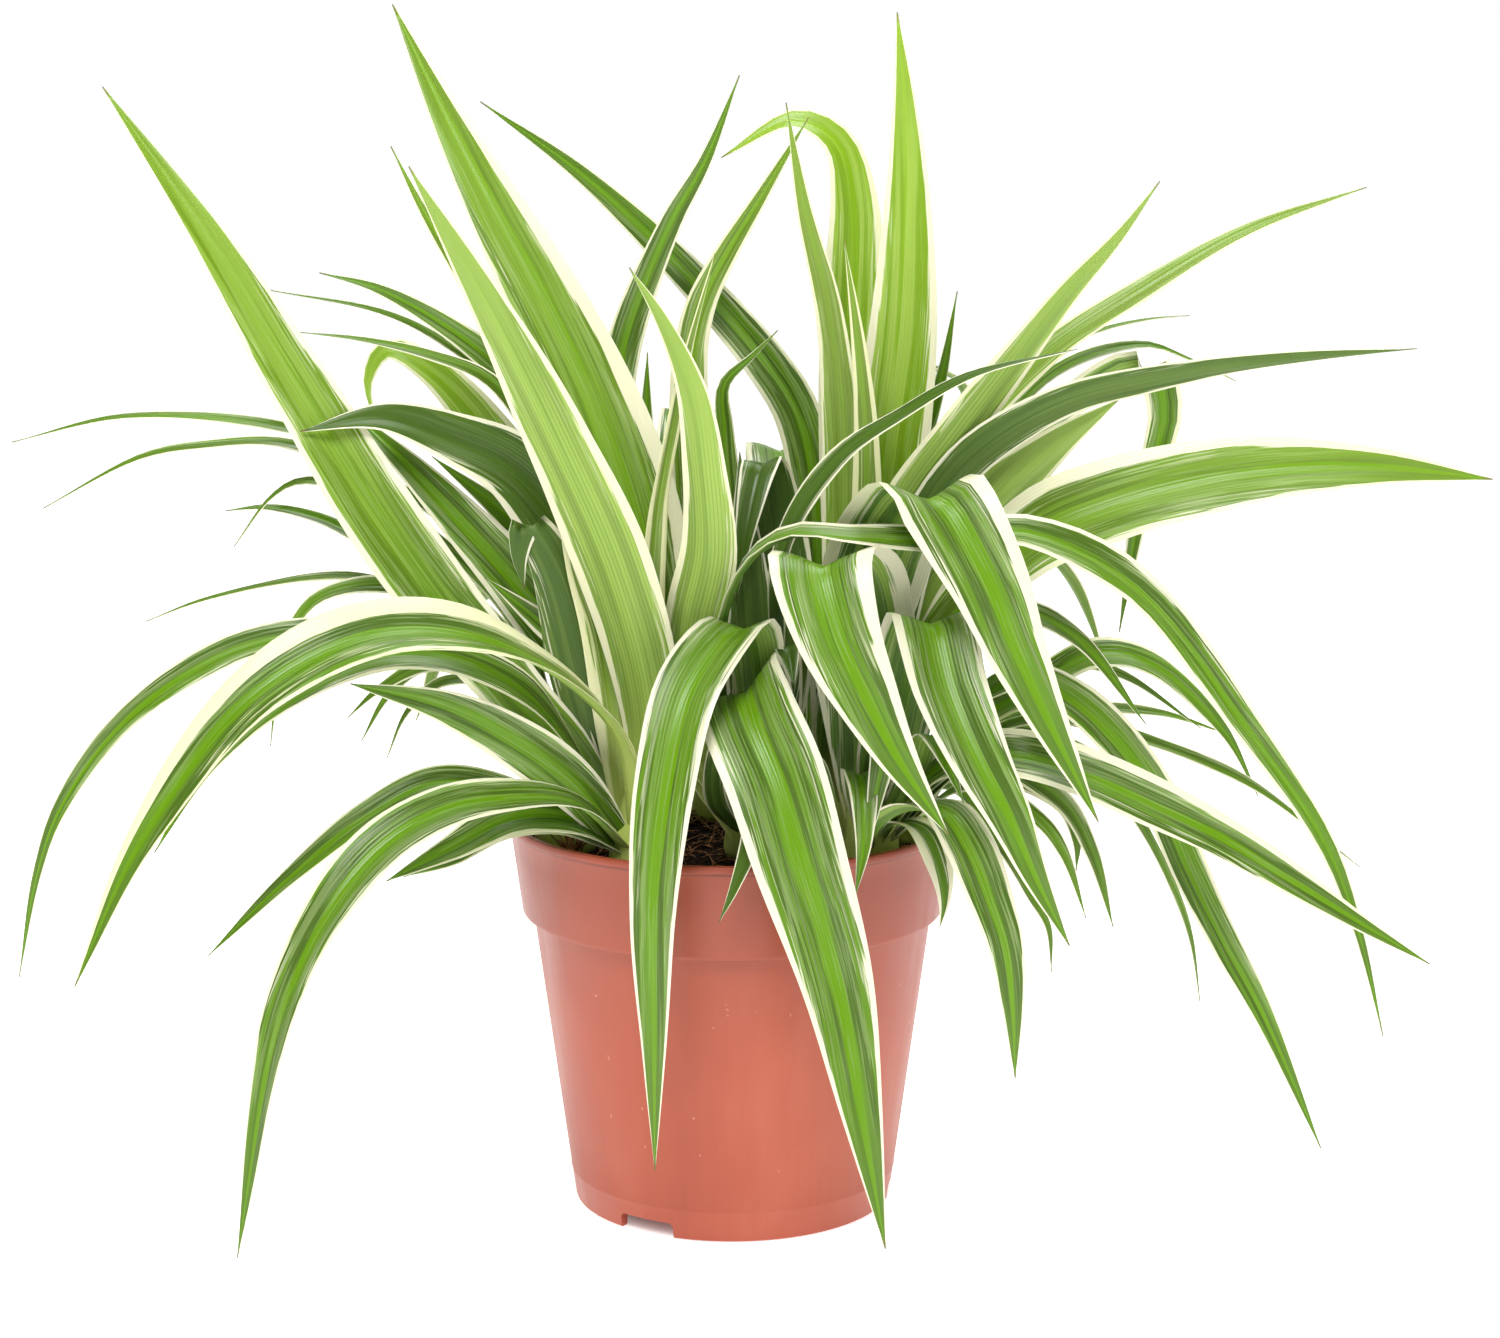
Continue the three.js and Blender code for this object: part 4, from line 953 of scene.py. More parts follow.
SHOOTS = [
    LeafyShoot("shoot_front_left", (-24, -30), [
        Leaf(Kind.TALL, 20, [(-4, -2, -3)],
             [(-42, -28, 128), (-57, -26, 144), (-86, -18, 180), (-112, -8, 220), (-137, 0, 260),
              (-163, 8, 296)]),
        Leaf(Kind.PALE, 20, [(9, -2, 4)],
             [(-21, -36, 139), (-29, -41, 175), (-44, -47, 212), (-60, -50, 245), (-78, -52, 278)]),
        Leaf(Kind.YOUNG, 11, [(-4, 0, -1)],
             [(-33, -30, 157), (-39, -31, 178), (-45, -32, 205)]),
        Leaf(Kind.SHADED, 24, [(-6, -1, -4), (-5, -2, -7), (0, -4, -5)],
             [(-34, -14, 158), (-43, -10, 182), (-56, -7, 198), (-72, -7, 206), (-90, -10, 212),
              (-111, -15, 209)]),
        Leaf(Kind.SHADED, 20, [(4, -2, -1), (5, 0, 0), (5, 0, 0)],
             [(-36, -25, 142), (-45, -28, 176), (-52, -30, 187), (-54, -28, 179), (-53, -27, 170)],
             lean=0.9),
        Leaf(Kind.STRAP, 17, [(-7, -3, -7)],
             [(-34, -13, 138), (-53, -6, 164), (-71, -2, 184), (-87, 2, 200), (-103, 8, 214)]),
        Leaf(Kind.BROAD, 12, [(-6, -3, -8)],
             [(-36, -20, 148), (-50, -17, 160), (-64, -15, 171)]),
        Leaf(Kind.BUTTERY, 19, [(2, -5, 0), (3, -4, -4), (5, -3, -6)],
             [(-30, -45, 138), (-57, -60, 162), (-85, -71, 167), (-114, -81, 154),
              (-141, -89, 120), (-158, -94, 84)], lean=0.1),
        Leaf(Kind.STRAP, 11, [(1, -5, -5), (4, -2, -6)],
             [(-53, -43, 147), (-83, -51, 158), (-109, -58, 149), (-128, -62, 133),
              (-143, -65, 110)]),
        Leaf(Kind.STRAP, 14, [(-5, -1, -8)],
             [(-40, -43, 122), (-53, -49, 134), (-71, -55, 145), (-94, -61, 152)]),
        Leaf(Kind.STRAP, 14, [(3, -5, -2), (3, -4, -4), (6, -3, -2)],
             [(-39, -49, 119), (-56, -60, 123), (-71, -70, 122), (-85, -78, 115), (-98, -86, 100),
              (-109, -92, 76), (-120, -99, 17)]),
        Leaf(Kind.STRAP, 9, [(1, -5, -4), (3, -3, -6)],
             [(-43, -33, 112), (-58, -38, 120), (-76, -44, 123), (-93, -49, 115), (-111, -53, 101),
              (-132, -56, 81)]),
        Leaf(Kind.GRASSY, 8, [(1, -4, -3), (1, -4, -5)],
             [(-44, -36, 110), (-57, -42, 111), (-70, -47, 104), (-83, -50, 100)]),
        Leaf(Kind.STRAP, 12, [(1, -4, -3), (1, -3, -5)],
             [(-42, -43, 114), (-56, -49, 115), (-70, -56, 109), (-86, -62, 102)]),
    ]),
    LeafyShoot("shoot_front_middle", (6, -14), [
        Leaf(Kind.STRAP, 17, [(5, -1, 0)],
             [(7, -26, 140), (3, -41, 163), (-10, -57, 151), (-16, -67, 128), (-19, -73, 98),
              (-19, -75, 62), (-19, -75, 31)]),
        Leaf(Kind.STRAP, 25, [(5, 1, 2), (5, 1, 4), (5, 0, 1), (5, 0, 0), (5, 0, 0)],
             [(9, -25, 132), (7, -36, 144), (3, -47, 148), (5, -57, 142), (11, -66, 129),
              (17, -73, 110), (26, -79, 81), (32, -86, 50), (38, -90, 16)]),
        Leaf(Kind.SHADED, 9, [(5, -1, 0)],
             [(7, -36, 121), (7, -52, 125), (6, -62, 116), (1, -67, 102), (-3, -68, 93)]),
        Leaf(Kind.SHADED, 6, [(5, -1, 0)],
             [(-4, -28, 114), (-4, -36, 130), (0, -38, 146)]),
        Leaf(Kind.PALE, 16, [(9, -3, 0)],
             [(-11, -27, 140), (-10, -33, 161), (-6, -42, 182), (-7, -46, 203), (-10, -47, 223),
              (-17, -46, 240), (-25, -44, 253)], lean=0.3),
        Leaf(Kind.YOUNG, 7, [(-4, -3, 0)],
             [(-17, -26, 138), (-20, -30, 165), (-19, -33, 189), (-15, -35, 212), (-10, -36, 235),
              (-4, -36, 256)]),
        Leaf(Kind.BRIGHT, 25, [(-6, -1, -3)],
             [(-15, -24, 143), (-21, -25, 167), (-25, -22, 187), (-34, -16, 213), (-48, -8, 242),
              (-62, -1, 267), (-75, 6, 291), (-88, 13, 317)], lean=0.15),
        Leaf(Kind.SHADED, 16, [(5, 0, 0)],
             [(14, 0, 150), (12, 3, 185), (8, -5, 200), (4, -13, 186), (1, -17, 165)]),
        Leaf(Kind.SHADED, 8, [(-3, 2, 3), (-2, 3, 3), (0, 4, 2)],
             [(12, -17, 145), (14, -34, 184), (27, -38, 205), (42, -41, 216), (59, -43, 226),
              (86, -44, 233)]),
        Leaf(Kind.BROAD, 13, [(1, 5, 0), (1, 5, 1), (2, 2, 3), (4, 1, 3)],
             [(-3, -32, 152), (3, -42, 178), (14, -47, 187), (30, -51, 187), (50, -52, 186),
              (72, -50, 188), (100, -51, 175), (129, -53, 139), (149, -55, 110), (158, -56, 87),
              (165, -57, 60)]),
        Leaf(Kind.STRAP, 7, [(5, -1, 0)],
             [(13, -24, 119), (21, -32, 126), (27, -40, 117)]),
        Leaf(Kind.SHADED, 18, [(5, -1, 0)],
             [(9, -18, 132), (12, -25, 150), (14, -32, 156), (16, -39, 147)]),
        Leaf(Kind.SHADED, 15, [(5, 0, 0)],
             [(6, -9, 140), (4, -5, 172), (2, -1, 202)]),
    ]),
    LeafyShoot("shoot_right", (27, 6), [
        Leaf(Kind.SUNLIT, 22, [(-5, 0, 0)],
             [(36, 10, 150), (41, 10, 199), (45, 12, 233), (46, 14, 269), (45, 15, 293),
              (43, 16, 315)]),
        Leaf(Kind.PALE, 11, [(-5, 0, 0)],
             [(29, 1, 150), (29, 1, 189), (28, 2, 215), (25, 4, 240), (19, 5, 264), (14, 6, 292)]),
        Leaf(Kind.SUNLIT, 17, [(-5, 0, 0), (-5, 0, 0), (-5, -1, -1), (0, -3, -4)],
             [(31, 17, 150), (31, 20, 213), (32, 24, 245), (32, 27, 266), (28, 29, 281),
              (17, 30, 287), (-3, 30, 277)], widest=0.62),
        Leaf(Kind.YOUNG, 9, [(-5, 0, 0)],
             [(34, -5, 150), (35, -5, 205), (33, -4, 229), (29, -3, 257)]),
        Leaf(Kind.PALE, 14, [(7, 2, -6)],
             [(37, -10, 158), (45, -12, 188), (59, -14, 209), (74, -15, 229), (86, -17, 245),
              (98, -19, 259), (108, -20, 273)]),
        Leaf(Kind.PALE, 11, [(-2, 5, 2), (-4, 5, 8)],
             [(46, 15, 155), (60, 9, 201), (83, 8, 227), (107, 9, 243), (135, 11, 259),
              (166, 12, 270)]),
        Leaf(Kind.STRAP, 9, [(-1, 5, 3)],
             [(55, 26, 171), (84, 21, 219), (109, 20, 228), (122, 22, 224), (135, 23, 218)]),
        Leaf(Kind.BROAD, 15, [(0, 5, 0), (1, 4, 0), (5, 1, 0), (5, 0, 0)],
             [(58, 12, 176), (91, 10, 214), (110, 10, 223), (114, 9, 212), (112, 8, 201),
              (108, 7, 186), (103, 5, 153)]),
        Leaf(Kind.SHADED, 13, [(5, 2, -5), (5, 2, -7), (0, 3, -5)],
             [(41, -6, 150), (48, -12, 180), (59, -15, 199), (72, -17, 210), (88, -18, 218),
              (104, -19, 222), (124, -20, 226), (148, -21, 229), (174, -22, 231)], widest=0.3),
        Leaf(Kind.PALE, 27, [(5, 2, -5), (5, 2, -7)],
             [(43, -1, 150), (55, -5, 174), (69, -8, 191), (84, -10, 205), (100, -11, 217)]),
        Leaf(Kind.BRIGHT, 24, [(-2, 4, 3), (-1, 3, 8)],
             [(49, -4, 144), (64, -10, 167), (80, -16, 183), (95, -18, 190), (115, -20, 196),
              (138, -22, 200), (165, -24, 201), (194, -25, 198)], widest=0.52, lean=0.75),
        Leaf(Kind.BROAD, 28, [(5, 1, 0), (5, 0, 0), (9, 1, 4)],
             [(34, -20, 160), (42, -40, 189), (50, -55, 198), (62, -64, 180), (70, -68, 161),
              (78, -71, 144), (90, -74, 120)], lean=0.62),
    ]),
    LeafyShoot("shoot_front_right", (36, -24), [
        Leaf(Kind.BROAD, 29, [(5, 1, 0), (5, 0, 0), (9, 1, 3)],
             [(34, -32, 152), (29, -44, 175), (22, -60, 182), (26, -69, 166), (33, -73, 151),
              (41, -76, 136), (53, -79, 118)], lean=0.7),
        Leaf(Kind.STRAP, 21, [(5, 1, 0), (5, 0, 0), (9, 1, 3)],
             [(44, -34, 142), (48, -42, 161), (50, -51, 166), (54, -62, 151), (61, -71, 135),
              (68, -76, 122), (75, -78, 106), (83, -79, 90)], lean=0.4),
        Leaf(Kind.STRAP, 13, [(-1, 5, 2), (3, 3, 3), (5, 1, 2)],
             [(58, -26, 135), (74, -30, 147), (87, -32, 142), (99, -35, 131), (109, -38, 117),
              (117, -40, 99), (126, -42, 81), (136, -44, 63), (152, -47, 27)]),
        Leaf(Kind.BROAD, 15, [(0, 5, 3), (2, 3, 8)],
             [(54, -44, 128), (70, -52, 132), (88, -56, 128), (105, -59, 121), (122, -62, 113),
              (139, -64, 103), (157, -66, 92), (174, -67, 82)], lean=0.7),
        Leaf(Kind.GRASSY, 10, [(0, 5, 2), (5, 0, 2)],
             [(60, -27, 124), (76, -30, 121), (86, -31, 114), (89, -32, 105), (89, -32, 97)]),
        Leaf(Kind.GRASSY, 8, [(0, 5, 2), (5, 1, 2)],
             [(64, -34, 126), (84, -38, 117), (92, -39, 104), (98, -40, 84)]),
        Leaf(Kind.GRASSY, 6, [(1, 5, 2), (5, 1, 2)],
             [(62, -42, 122), (78, -47, 114), (84, -48, 106), (90, -49, 89)]),
        Leaf(Kind.STRAP, 14, [(4, 4, 0), (5, 2, 0), (5, 0, 1)],
             [(37, -44, 112), (45, -53, 119), (53, -60, 119), (59, -64, 111), (64, -66, 99),
              (68, -68, 87), (70, -69, 72), (71, -69, 53)]),
        Leaf(Kind.CREAMY, 10, [(5, 2, 0)],
             [(42, -34, 110), (49, -42, 110), (53, -46, 101), (54, -47, 93), (53, -47, 86)]),
        Leaf(Kind.GRASSY, 5, [(1, 5, 1), (5, 1, 1)],
             [(56, -18, 116), (71, -20, 100), (78, -21, 88), (83, -21, 79), (84, -22, 67)]),
        Leaf(Kind.STRAP, 10, [(5, 0, 0)],
             [(37, -44, 132), (38, -52, 140), (38, -57, 134), (36, -58, 123), (34, -59, 109)]),
        Leaf(Kind.STRAP, 9, [(5, 1, 0), (5, 0, 1)],
             [(47, -40, 126), (50, -51, 137), (54, -57, 131), (58, -58, 121)]),
        Leaf(Kind.STRAP, 9, [(5, 0, 0)],
             [(32, -46, 126), (33, -56, 124), (33, -62, 112), (31, -64, 99)]),
    ]),
    LeafyShoot("shoot_far_right", (46, 2), [
        Leaf(Kind.STRAP, 10, [(-2, 4, 3), (2, 3, 5)],
             [(60, -2, 126), (80, -8, 141), (95, -11, 150), (109, -13, 148), (128, -15, 131),
              (138, -16, 113)]),
        Leaf(Kind.STRAP, 9, [(-1, 5, 2), (4, 2, 4)],
             [(56, -20, 146), (73, -28, 164), (88, -31, 158), (106, -33, 136)]),
        Leaf(Kind.GRASSY, 5, [(0, 5, 2), (2, 3, 4)],
             [(64, 2, 132), (88, -2, 146), (103, -3, 143), (124, -5, 129)]),
        Leaf(Kind.GRASSY, 5, [(0, 5, 2), (1, 3, 4)],
             [(66, 10, 124), (95, 10, 131), (115, 10, 130), (134, 10, 124)]),
        Leaf(Kind.GRASSY, 5, [(0, 5, 2), (1, 3, 4)],
             [(64, -16, 128), (82, -21, 135), (100, -24, 132), (132, -26, 120), (163, -28, 97)]),
        Leaf(Kind.GRASSY, 5, [(0, 5, 2), (4, 2, 2)],
             [(70, -6, 128), (95, -8, 122), (108, -9, 104), (117, -10, 87), (122, -10, 73),
              (125, -10, 55)]),
    ]),
    LeafyShoot("shoot_left", (-44, -8), [
        Leaf(Kind.STRAP, 9, [(1, -4, -4), (4, -2, -6)],
             [(-52, -18, 136), (-78, -24, 154), (-102, -30, 159), (-125, -32, 156),
              (-153, -36, 139), (-171, -38, 116), (-178, -38, 98), (-184, -38, 70)]),
        Leaf(Kind.GRASSY, 4, [(0, -5, 0), (0, -3, -5)],
             [(-60, 12, 152), (-94, 10, 166), (-111, 10, 167), (-141, 10, 161), (-157, 10, 155)]),
        Leaf(Kind.GRASSY, 6, [(0, -5, -2), (2, -3, -5), (5, -1, -2)],
             [(-60, 6, 150), (-86, 3, 165), (-100, 2, 166), (-111, 1, 162), (-118, 0, 151),
              (-121, 0, 138), (-123, 0, 123)]),
        Leaf(Kind.GRASSY, 8, [(0, -5, -2), (3, -3, -4)],
             [(-56, -4, 141), (-79, -10, 147), (-92, -11, 141), (-101, -11, 133)]),
        Leaf(Kind.GRASSY, 7, [(0, -5, -2), (3, -3, -4)],
             [(-60, 6, 140), (-80, 3, 145), (-91, 2, 137), (-99, 2, 124)]),
        Leaf(Kind.GRASSY, 5, [(0, -5, -2), (3, -3, -4)],
             [(-56, 10, 134), (-77, 8, 139), (-87, 8, 131), (-93, 8, 118)]),
        Leaf(Kind.GRASSY, 5, [(-2, -5, -2), (1, -3, -5)],
             [(-48, 17, 150), (-80, 18, 192), (-119, 18, 206), (-162, 20, 209), (-193, 20, 202)]),
        Leaf(Kind.GRASSY, 5, [(-2, -5, -2), (1, -3, -5)],
             [(-47, 15, 146), (-80, 15, 184), (-117, 14, 202), (-140, 14, 202), (-157, 14, 199),
              (-184, 14, 185)]),
        Leaf(Kind.GRASSY, 6, [(-2, -5, -2), (1, -3, -4)],
             [(-58, 22, 150), (-96, 24, 186), (-116, 24, 191), (-124, 24, 187), (-135, 24, 173)]),
    ]),
    LeafyShoot("shoot_back_left", (-29, 16), [
        Leaf(Kind.BRIGHT, 10, [(-5, 0, -2)],
             [(-34, 7, 150), (-40, 4, 196), (-53, 2, 221), (-66, 1, 242), (-79, 2, 263),
              (-88, 2, 281)]),
        Leaf(Kind.STRAP, 12, [(-5, 0, -3), (-2, -1, -5)],
             [(-40, 15, 168), (-49, 12, 207), (-60, 10, 222), (-75, 9, 234), (-93, 8, 244),
              (-108, 8, 248)]),
        Leaf(Kind.GRASSY, 4, [(-5, 0, -4), (-1, -1, -5)],
             [(-36, 22, 165), (-51, 18, 208), (-76, 16, 229), (-92, 16, 237), (-123, 16, 243)]),
        Leaf(Kind.GRASSY, 6, [(-5, 0, -3), (-1, -2, -5)],
             [(-40, 10, 152), (-48, 7, 196), (-63, 4, 220), (-79, 3, 227), (-96, 3, 231),
              (-114, 3, 233)]),
        Leaf(Kind.SUNLIT, 17, [(-5, 0, -3), (-4, 0, -4), (3, -2, -3)],
             [(-46, 31, 168), (-68, 29, 206), (-82, 29, 221), (-93, 29, 226), (-98, 29, 218),
              (-96, 29, 204)]),
        Leaf(Kind.STRAP, 12, [(-5, -1, -5)],
             [(-41, 22, 147), (-50, 20, 171), (-63, 16, 185), (-80, 14, 199)]),
        Leaf(Kind.STRAP, 9, [(-2, -5, -2), (1, -3, -4)],
             [(-70, 28, 155), (-106, 30, 177), (-116, 30, 181), (-127, 30, 183), (-138, 30, 182)]),
        Leaf(Kind.STRAP, 15, [(-4, -3, 0)],
             [(-46, 40, 150), (-64, 56, 158), (-80, 68, 142), (-92, 76, 114)]),
    ]),
    LeafyShoot("shoot_back_middle", (-4, 30), [
        Leaf(Kind.STRAP, 12, [(-5, 0, 1)],
             [(-16, 22, 135), (-26, 14, 171), (-32, 12, 200), (-29, 10, 227), (-16, 6, 261),
              (-7, 5, 277), (2, 4, 299)]),
        Leaf(Kind.STRAP, 11, [(-5, 0, 0)],
             [(-26, 6, 170), (-23, 2, 200), (-22, 0, 228)]),
        Leaf(Kind.BRIGHT, 12, [(-5, 0, 2)],
             [(-6, 20, 150), (-11, 15, 200), (-11, 14, 227), (-8, 14, 240), (-2, 14, 252),
              (6, 14, 265), (20, 14, 288)]),
        Leaf(Kind.STRAP, 9, [(-5, 0, 2)],
             [(1, 16, 160), (-2, 11, 207), (-2, 8, 219), (5, 8, 226), (12, 8, 233)]),
        Leaf(Kind.STRAP, 19, [(-5, 0, 0)],
             [(-26, 44, 150), (-34, 64, 170), (-41, 81, 154), (-44, 90, 120), (-45, 93, 80)]),
        Leaf(Kind.STRAP, 20, [(-5, 0, 0)],
             [(-12, 50, 188), (-11, 70, 204), (-11, 86, 188), (-12, 95, 150), (-14, 98, 112)]),
    ]),
    LeafyShoot("shoot_back_right", (22, 34), [
        Leaf(Kind.STRAP, 13, [(-5, 0, -2), (-5, 0, -5)],
             [(24, 30, 150), (22, 26, 190), (17, 26, 210), (9, 24, 223), (0, 23, 234),
              (-12, 22, 247), (-25, 21, 260), (-42, 20, 275), (-66, 18, 292)]),
        Leaf(Kind.STRAP, 8, [(-5, 0, 1)],
             [(40, 28, 170), (55, 24, 215), (60, 24, 242)]),
        Leaf(Kind.GRASSY, 5, [(-3, 5, 2), (-1, 5, 4)],
             [(52, 31, 180), (85, 30, 224), (99, 30, 231), (112, 30, 234), (123, 30, 235)]),
        Leaf(Kind.STRAP, 18, [(-5, 0, 0)],
             [(31, 54, 150), (37, 74, 158), (40, 88, 138), (42, 95, 100), (43, 97, 58)]),
        Leaf(Kind.STRAP, 16, [(-3, 3, 0)],
             [(48, 50, 143), (68, 66, 146), (80, 77, 124), (86, 82, 96)]),
        Leaf(Kind.STRAP, 20, [(-5, 0, 0)],
             [(15, 54, 184), (13, 73, 194), (13, 88, 160), (12, 94, 124), (11, 96, 88)]),
        Leaf(Kind.STRAP, 15, [(-3, 3, 1)],
             [(50, 44, 162), (74, 58, 174), (95, 70, 158), (108, 77, 130)]),
        Leaf(Kind.STRAP, 12, [(-3, 3, 1)],
             [(35, 48, 190), (48, 64, 216), (62, 76, 214), (71, 83, 196), (78, 88, 170)]),
    ]),
]


# ---- pot ----------------------------------------------------------------------------------


@dataclass
class NurseryPot:
    """The round tapered pot with its collar, base plate and notched foot, in millimetres."""

    height: float = 105.0
    rim: float = 60.0
    wall: float = 1.2
    bead: float = 1.8
    bead_proud: float = 0.7
    collar: float = 25.5
    collar_draft: float = 2.9
    shoulder: float = 3.0
    foot: float = 42.7
    foot_width: float = 2.6
    base_plate: float = 4.6
    notch_degrees: tuple[float, ...] = (-122.0, -2.0, 118.0)
    notch_half_degrees: float = 11.0
    notch_height: float = 4.2
    notch_corner: float = 1.4
    corner_steps: int = 5
    sides: int = 192
    crease_degrees: float = 32.0

    @property
    def low(self) -> float:
        """The height of the collar's foot."""
        return self.height - self.collar

    @property
    def collar_foot(self) -> float:
        """The collar's radius at its foot."""
        return self.rim - self.bead_proud - self.collar_draft

    @property
    def body_top(self) -> float:
        """The body's radius where it meets the collar."""
        return self.collar_foot - self.shoulder

    def inside(self, height: float) -> float:
        """Say how wide the pot is inside at a height, as a radius."""
        floor = self.foot - self.wall
        if height <= self.low:
            return floor + (self.body_top - self.wall - floor) * height / self.low
        share = (height - self.low - self.wall) / (self.collar - self.wall)
        return self.collar_foot - self.wall + self.collar_draft * max(share, 0)

    def profile(self) -> list[tuple[float, float]]:
        """List the rings of the shell, up the outside and down the inside."""
        low, collar_foot, body_top = self.low, self.collar_foot, self.body_top
        collar_top = self.rim - self.bead_proud
        slope = (body_top - self.foot) / low
        inner_foot = self.foot - self.foot_width
        rings = [(0.0, self.base_plate), (inner_foot - 0.6, self.base_plate),
                 (inner_foot, self.base_plate - 0.6), (inner_foot, 0.3), (inner_foot + 0.3, 0.0),
                 (self.foot - 0.5, 0.0), (self.foot - 0.15, 0.15), (self.foot, 0.5)]
        # A faint parting line runs round the wall just above the base plate.
        line = 8.3
        for away, proud in ((-0.35, 0.0), (-0.12, 0.1), (0.12, 0.1), (0.35, 0.0)):
            rings.append((self.foot + slope * (line + away) + proud, line + away))
        rings += [(self.foot + slope * h, h) for h in (20.0, 35.0, 50.0, 65.0, low - 1.2)]
        rings += [(body_top + 0.1, low - 0.5), (body_top + 0.5, low - 0.15), (collar_foot - 1.0, low),
                  (collar_foot - 0.35, low + 0.2), (collar_foot - 0.05, low + 0.7),
                  (collar_foot, low + 1.3)]
        top = self.height - self.bead
        rings += [(collar_foot + self.collar_draft * share, low + 1.3 + (top - low - 1.9) * share)
                  for share in (0.25, 0.5, 0.75, 1.0)]
        rings += [(collar_top + 0.15, top - 0.35), (self.rim - 0.1, top), (self.rim, top + 0.3),
                  (self.rim, self.height - 0.6), (self.rim - 0.2, self.height - 0.15),
                  (self.rim - 0.6, self.height), (collar_top - self.wall + 0.35, self.height),
                  (collar_top - self.wall, self.height - 0.35)]
        rings += [(self.inside(h), h) for h in (95.0, low + 2 * self.wall, low, 60.0, 30.0)]
        floor = self.base_plate + self.wall
        rings += [(self.inside(floor + 1), floor + 1.0), (self.inside(floor) - 0.8, floor), (0.0, floor)]
        return rings

    def notch(self, angle: float) -> bmesh.types.BMesh:
        """Make the block that cuts one drainage notch, its upper corners rounded."""
        half = self.foot * math.sin(math.radians(self.notch_half_degrees))
        corner = self.notch_corner
        outline = [(-half, -1.0), (half, -1.0)]
        for side, start in ((1, 0), (-1, 90)):
            for step in range(self.corner_steps + 1):
                turn = math.radians(start + 90 / self.corner_steps * step)
                outline.append((side * (half - corner) + corner * math.cos(turn),
                                self.notch_height - corner + corner * math.sin(turn)))
        block = bmesh.new()
        near, far = self.foot - 2 * self.foot_width, self.foot + self.foot_width
        ends = [[block.verts.new((depth * MM, x * MM, z * MM)) for x, z in outline]
                for depth in (near, far)]
        block.faces.new(ends[0])
        block.faces.new(ends[1])
        for i in range(len(outline)):
            j = (i + 1) % len(outline)
            block.faces.new((ends[0][i], ends[0][j], ends[1][j], ends[1][i]))
        bmesh.ops.recalc_face_normals(block, faces=block.faces)
        bmesh.ops.transform(block, matrix=Matrix.Rotation(math.radians(angle), 4, "Z"), verts=block.verts)
        return block

    def build(self, finish: bpy.types.Material) -> bpy.types.Object:
        """Mould the pot and put it in the place of its plain solid.

        Args:
            finish: The pot's plastic.

        Returns:
            The pot.
        """
        pot = object_of("pot_shell", settled(turned(self.profile(), self.sides), "pot_shell"))
        cutters = []
        for angle in self.notch_degrees:
            cutters.append(object_of("notch", settled(self.notch(angle), "notch")))
            cut = pot.modifiers.new("notch", "BOOLEAN")
            cut.operation, cut.solver, cut.object = "DIFFERENCE", "EXACT", cutters[-1]
        pot = baked(pot, "pot_moulded")
        for cutter in cutters:
            bpy.data.objects.remove(cutter, do_unlink=True)
        pot.data.set_sharp_from_angle(angle=math.radians(self.crease_degrees))
        pot.data.materials.clear()
        pot.data.materials.append(finish)
        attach(pot, "root")
        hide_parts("pot")
        return pot


# ---- soil and roots -------------------------------------------------------------------------


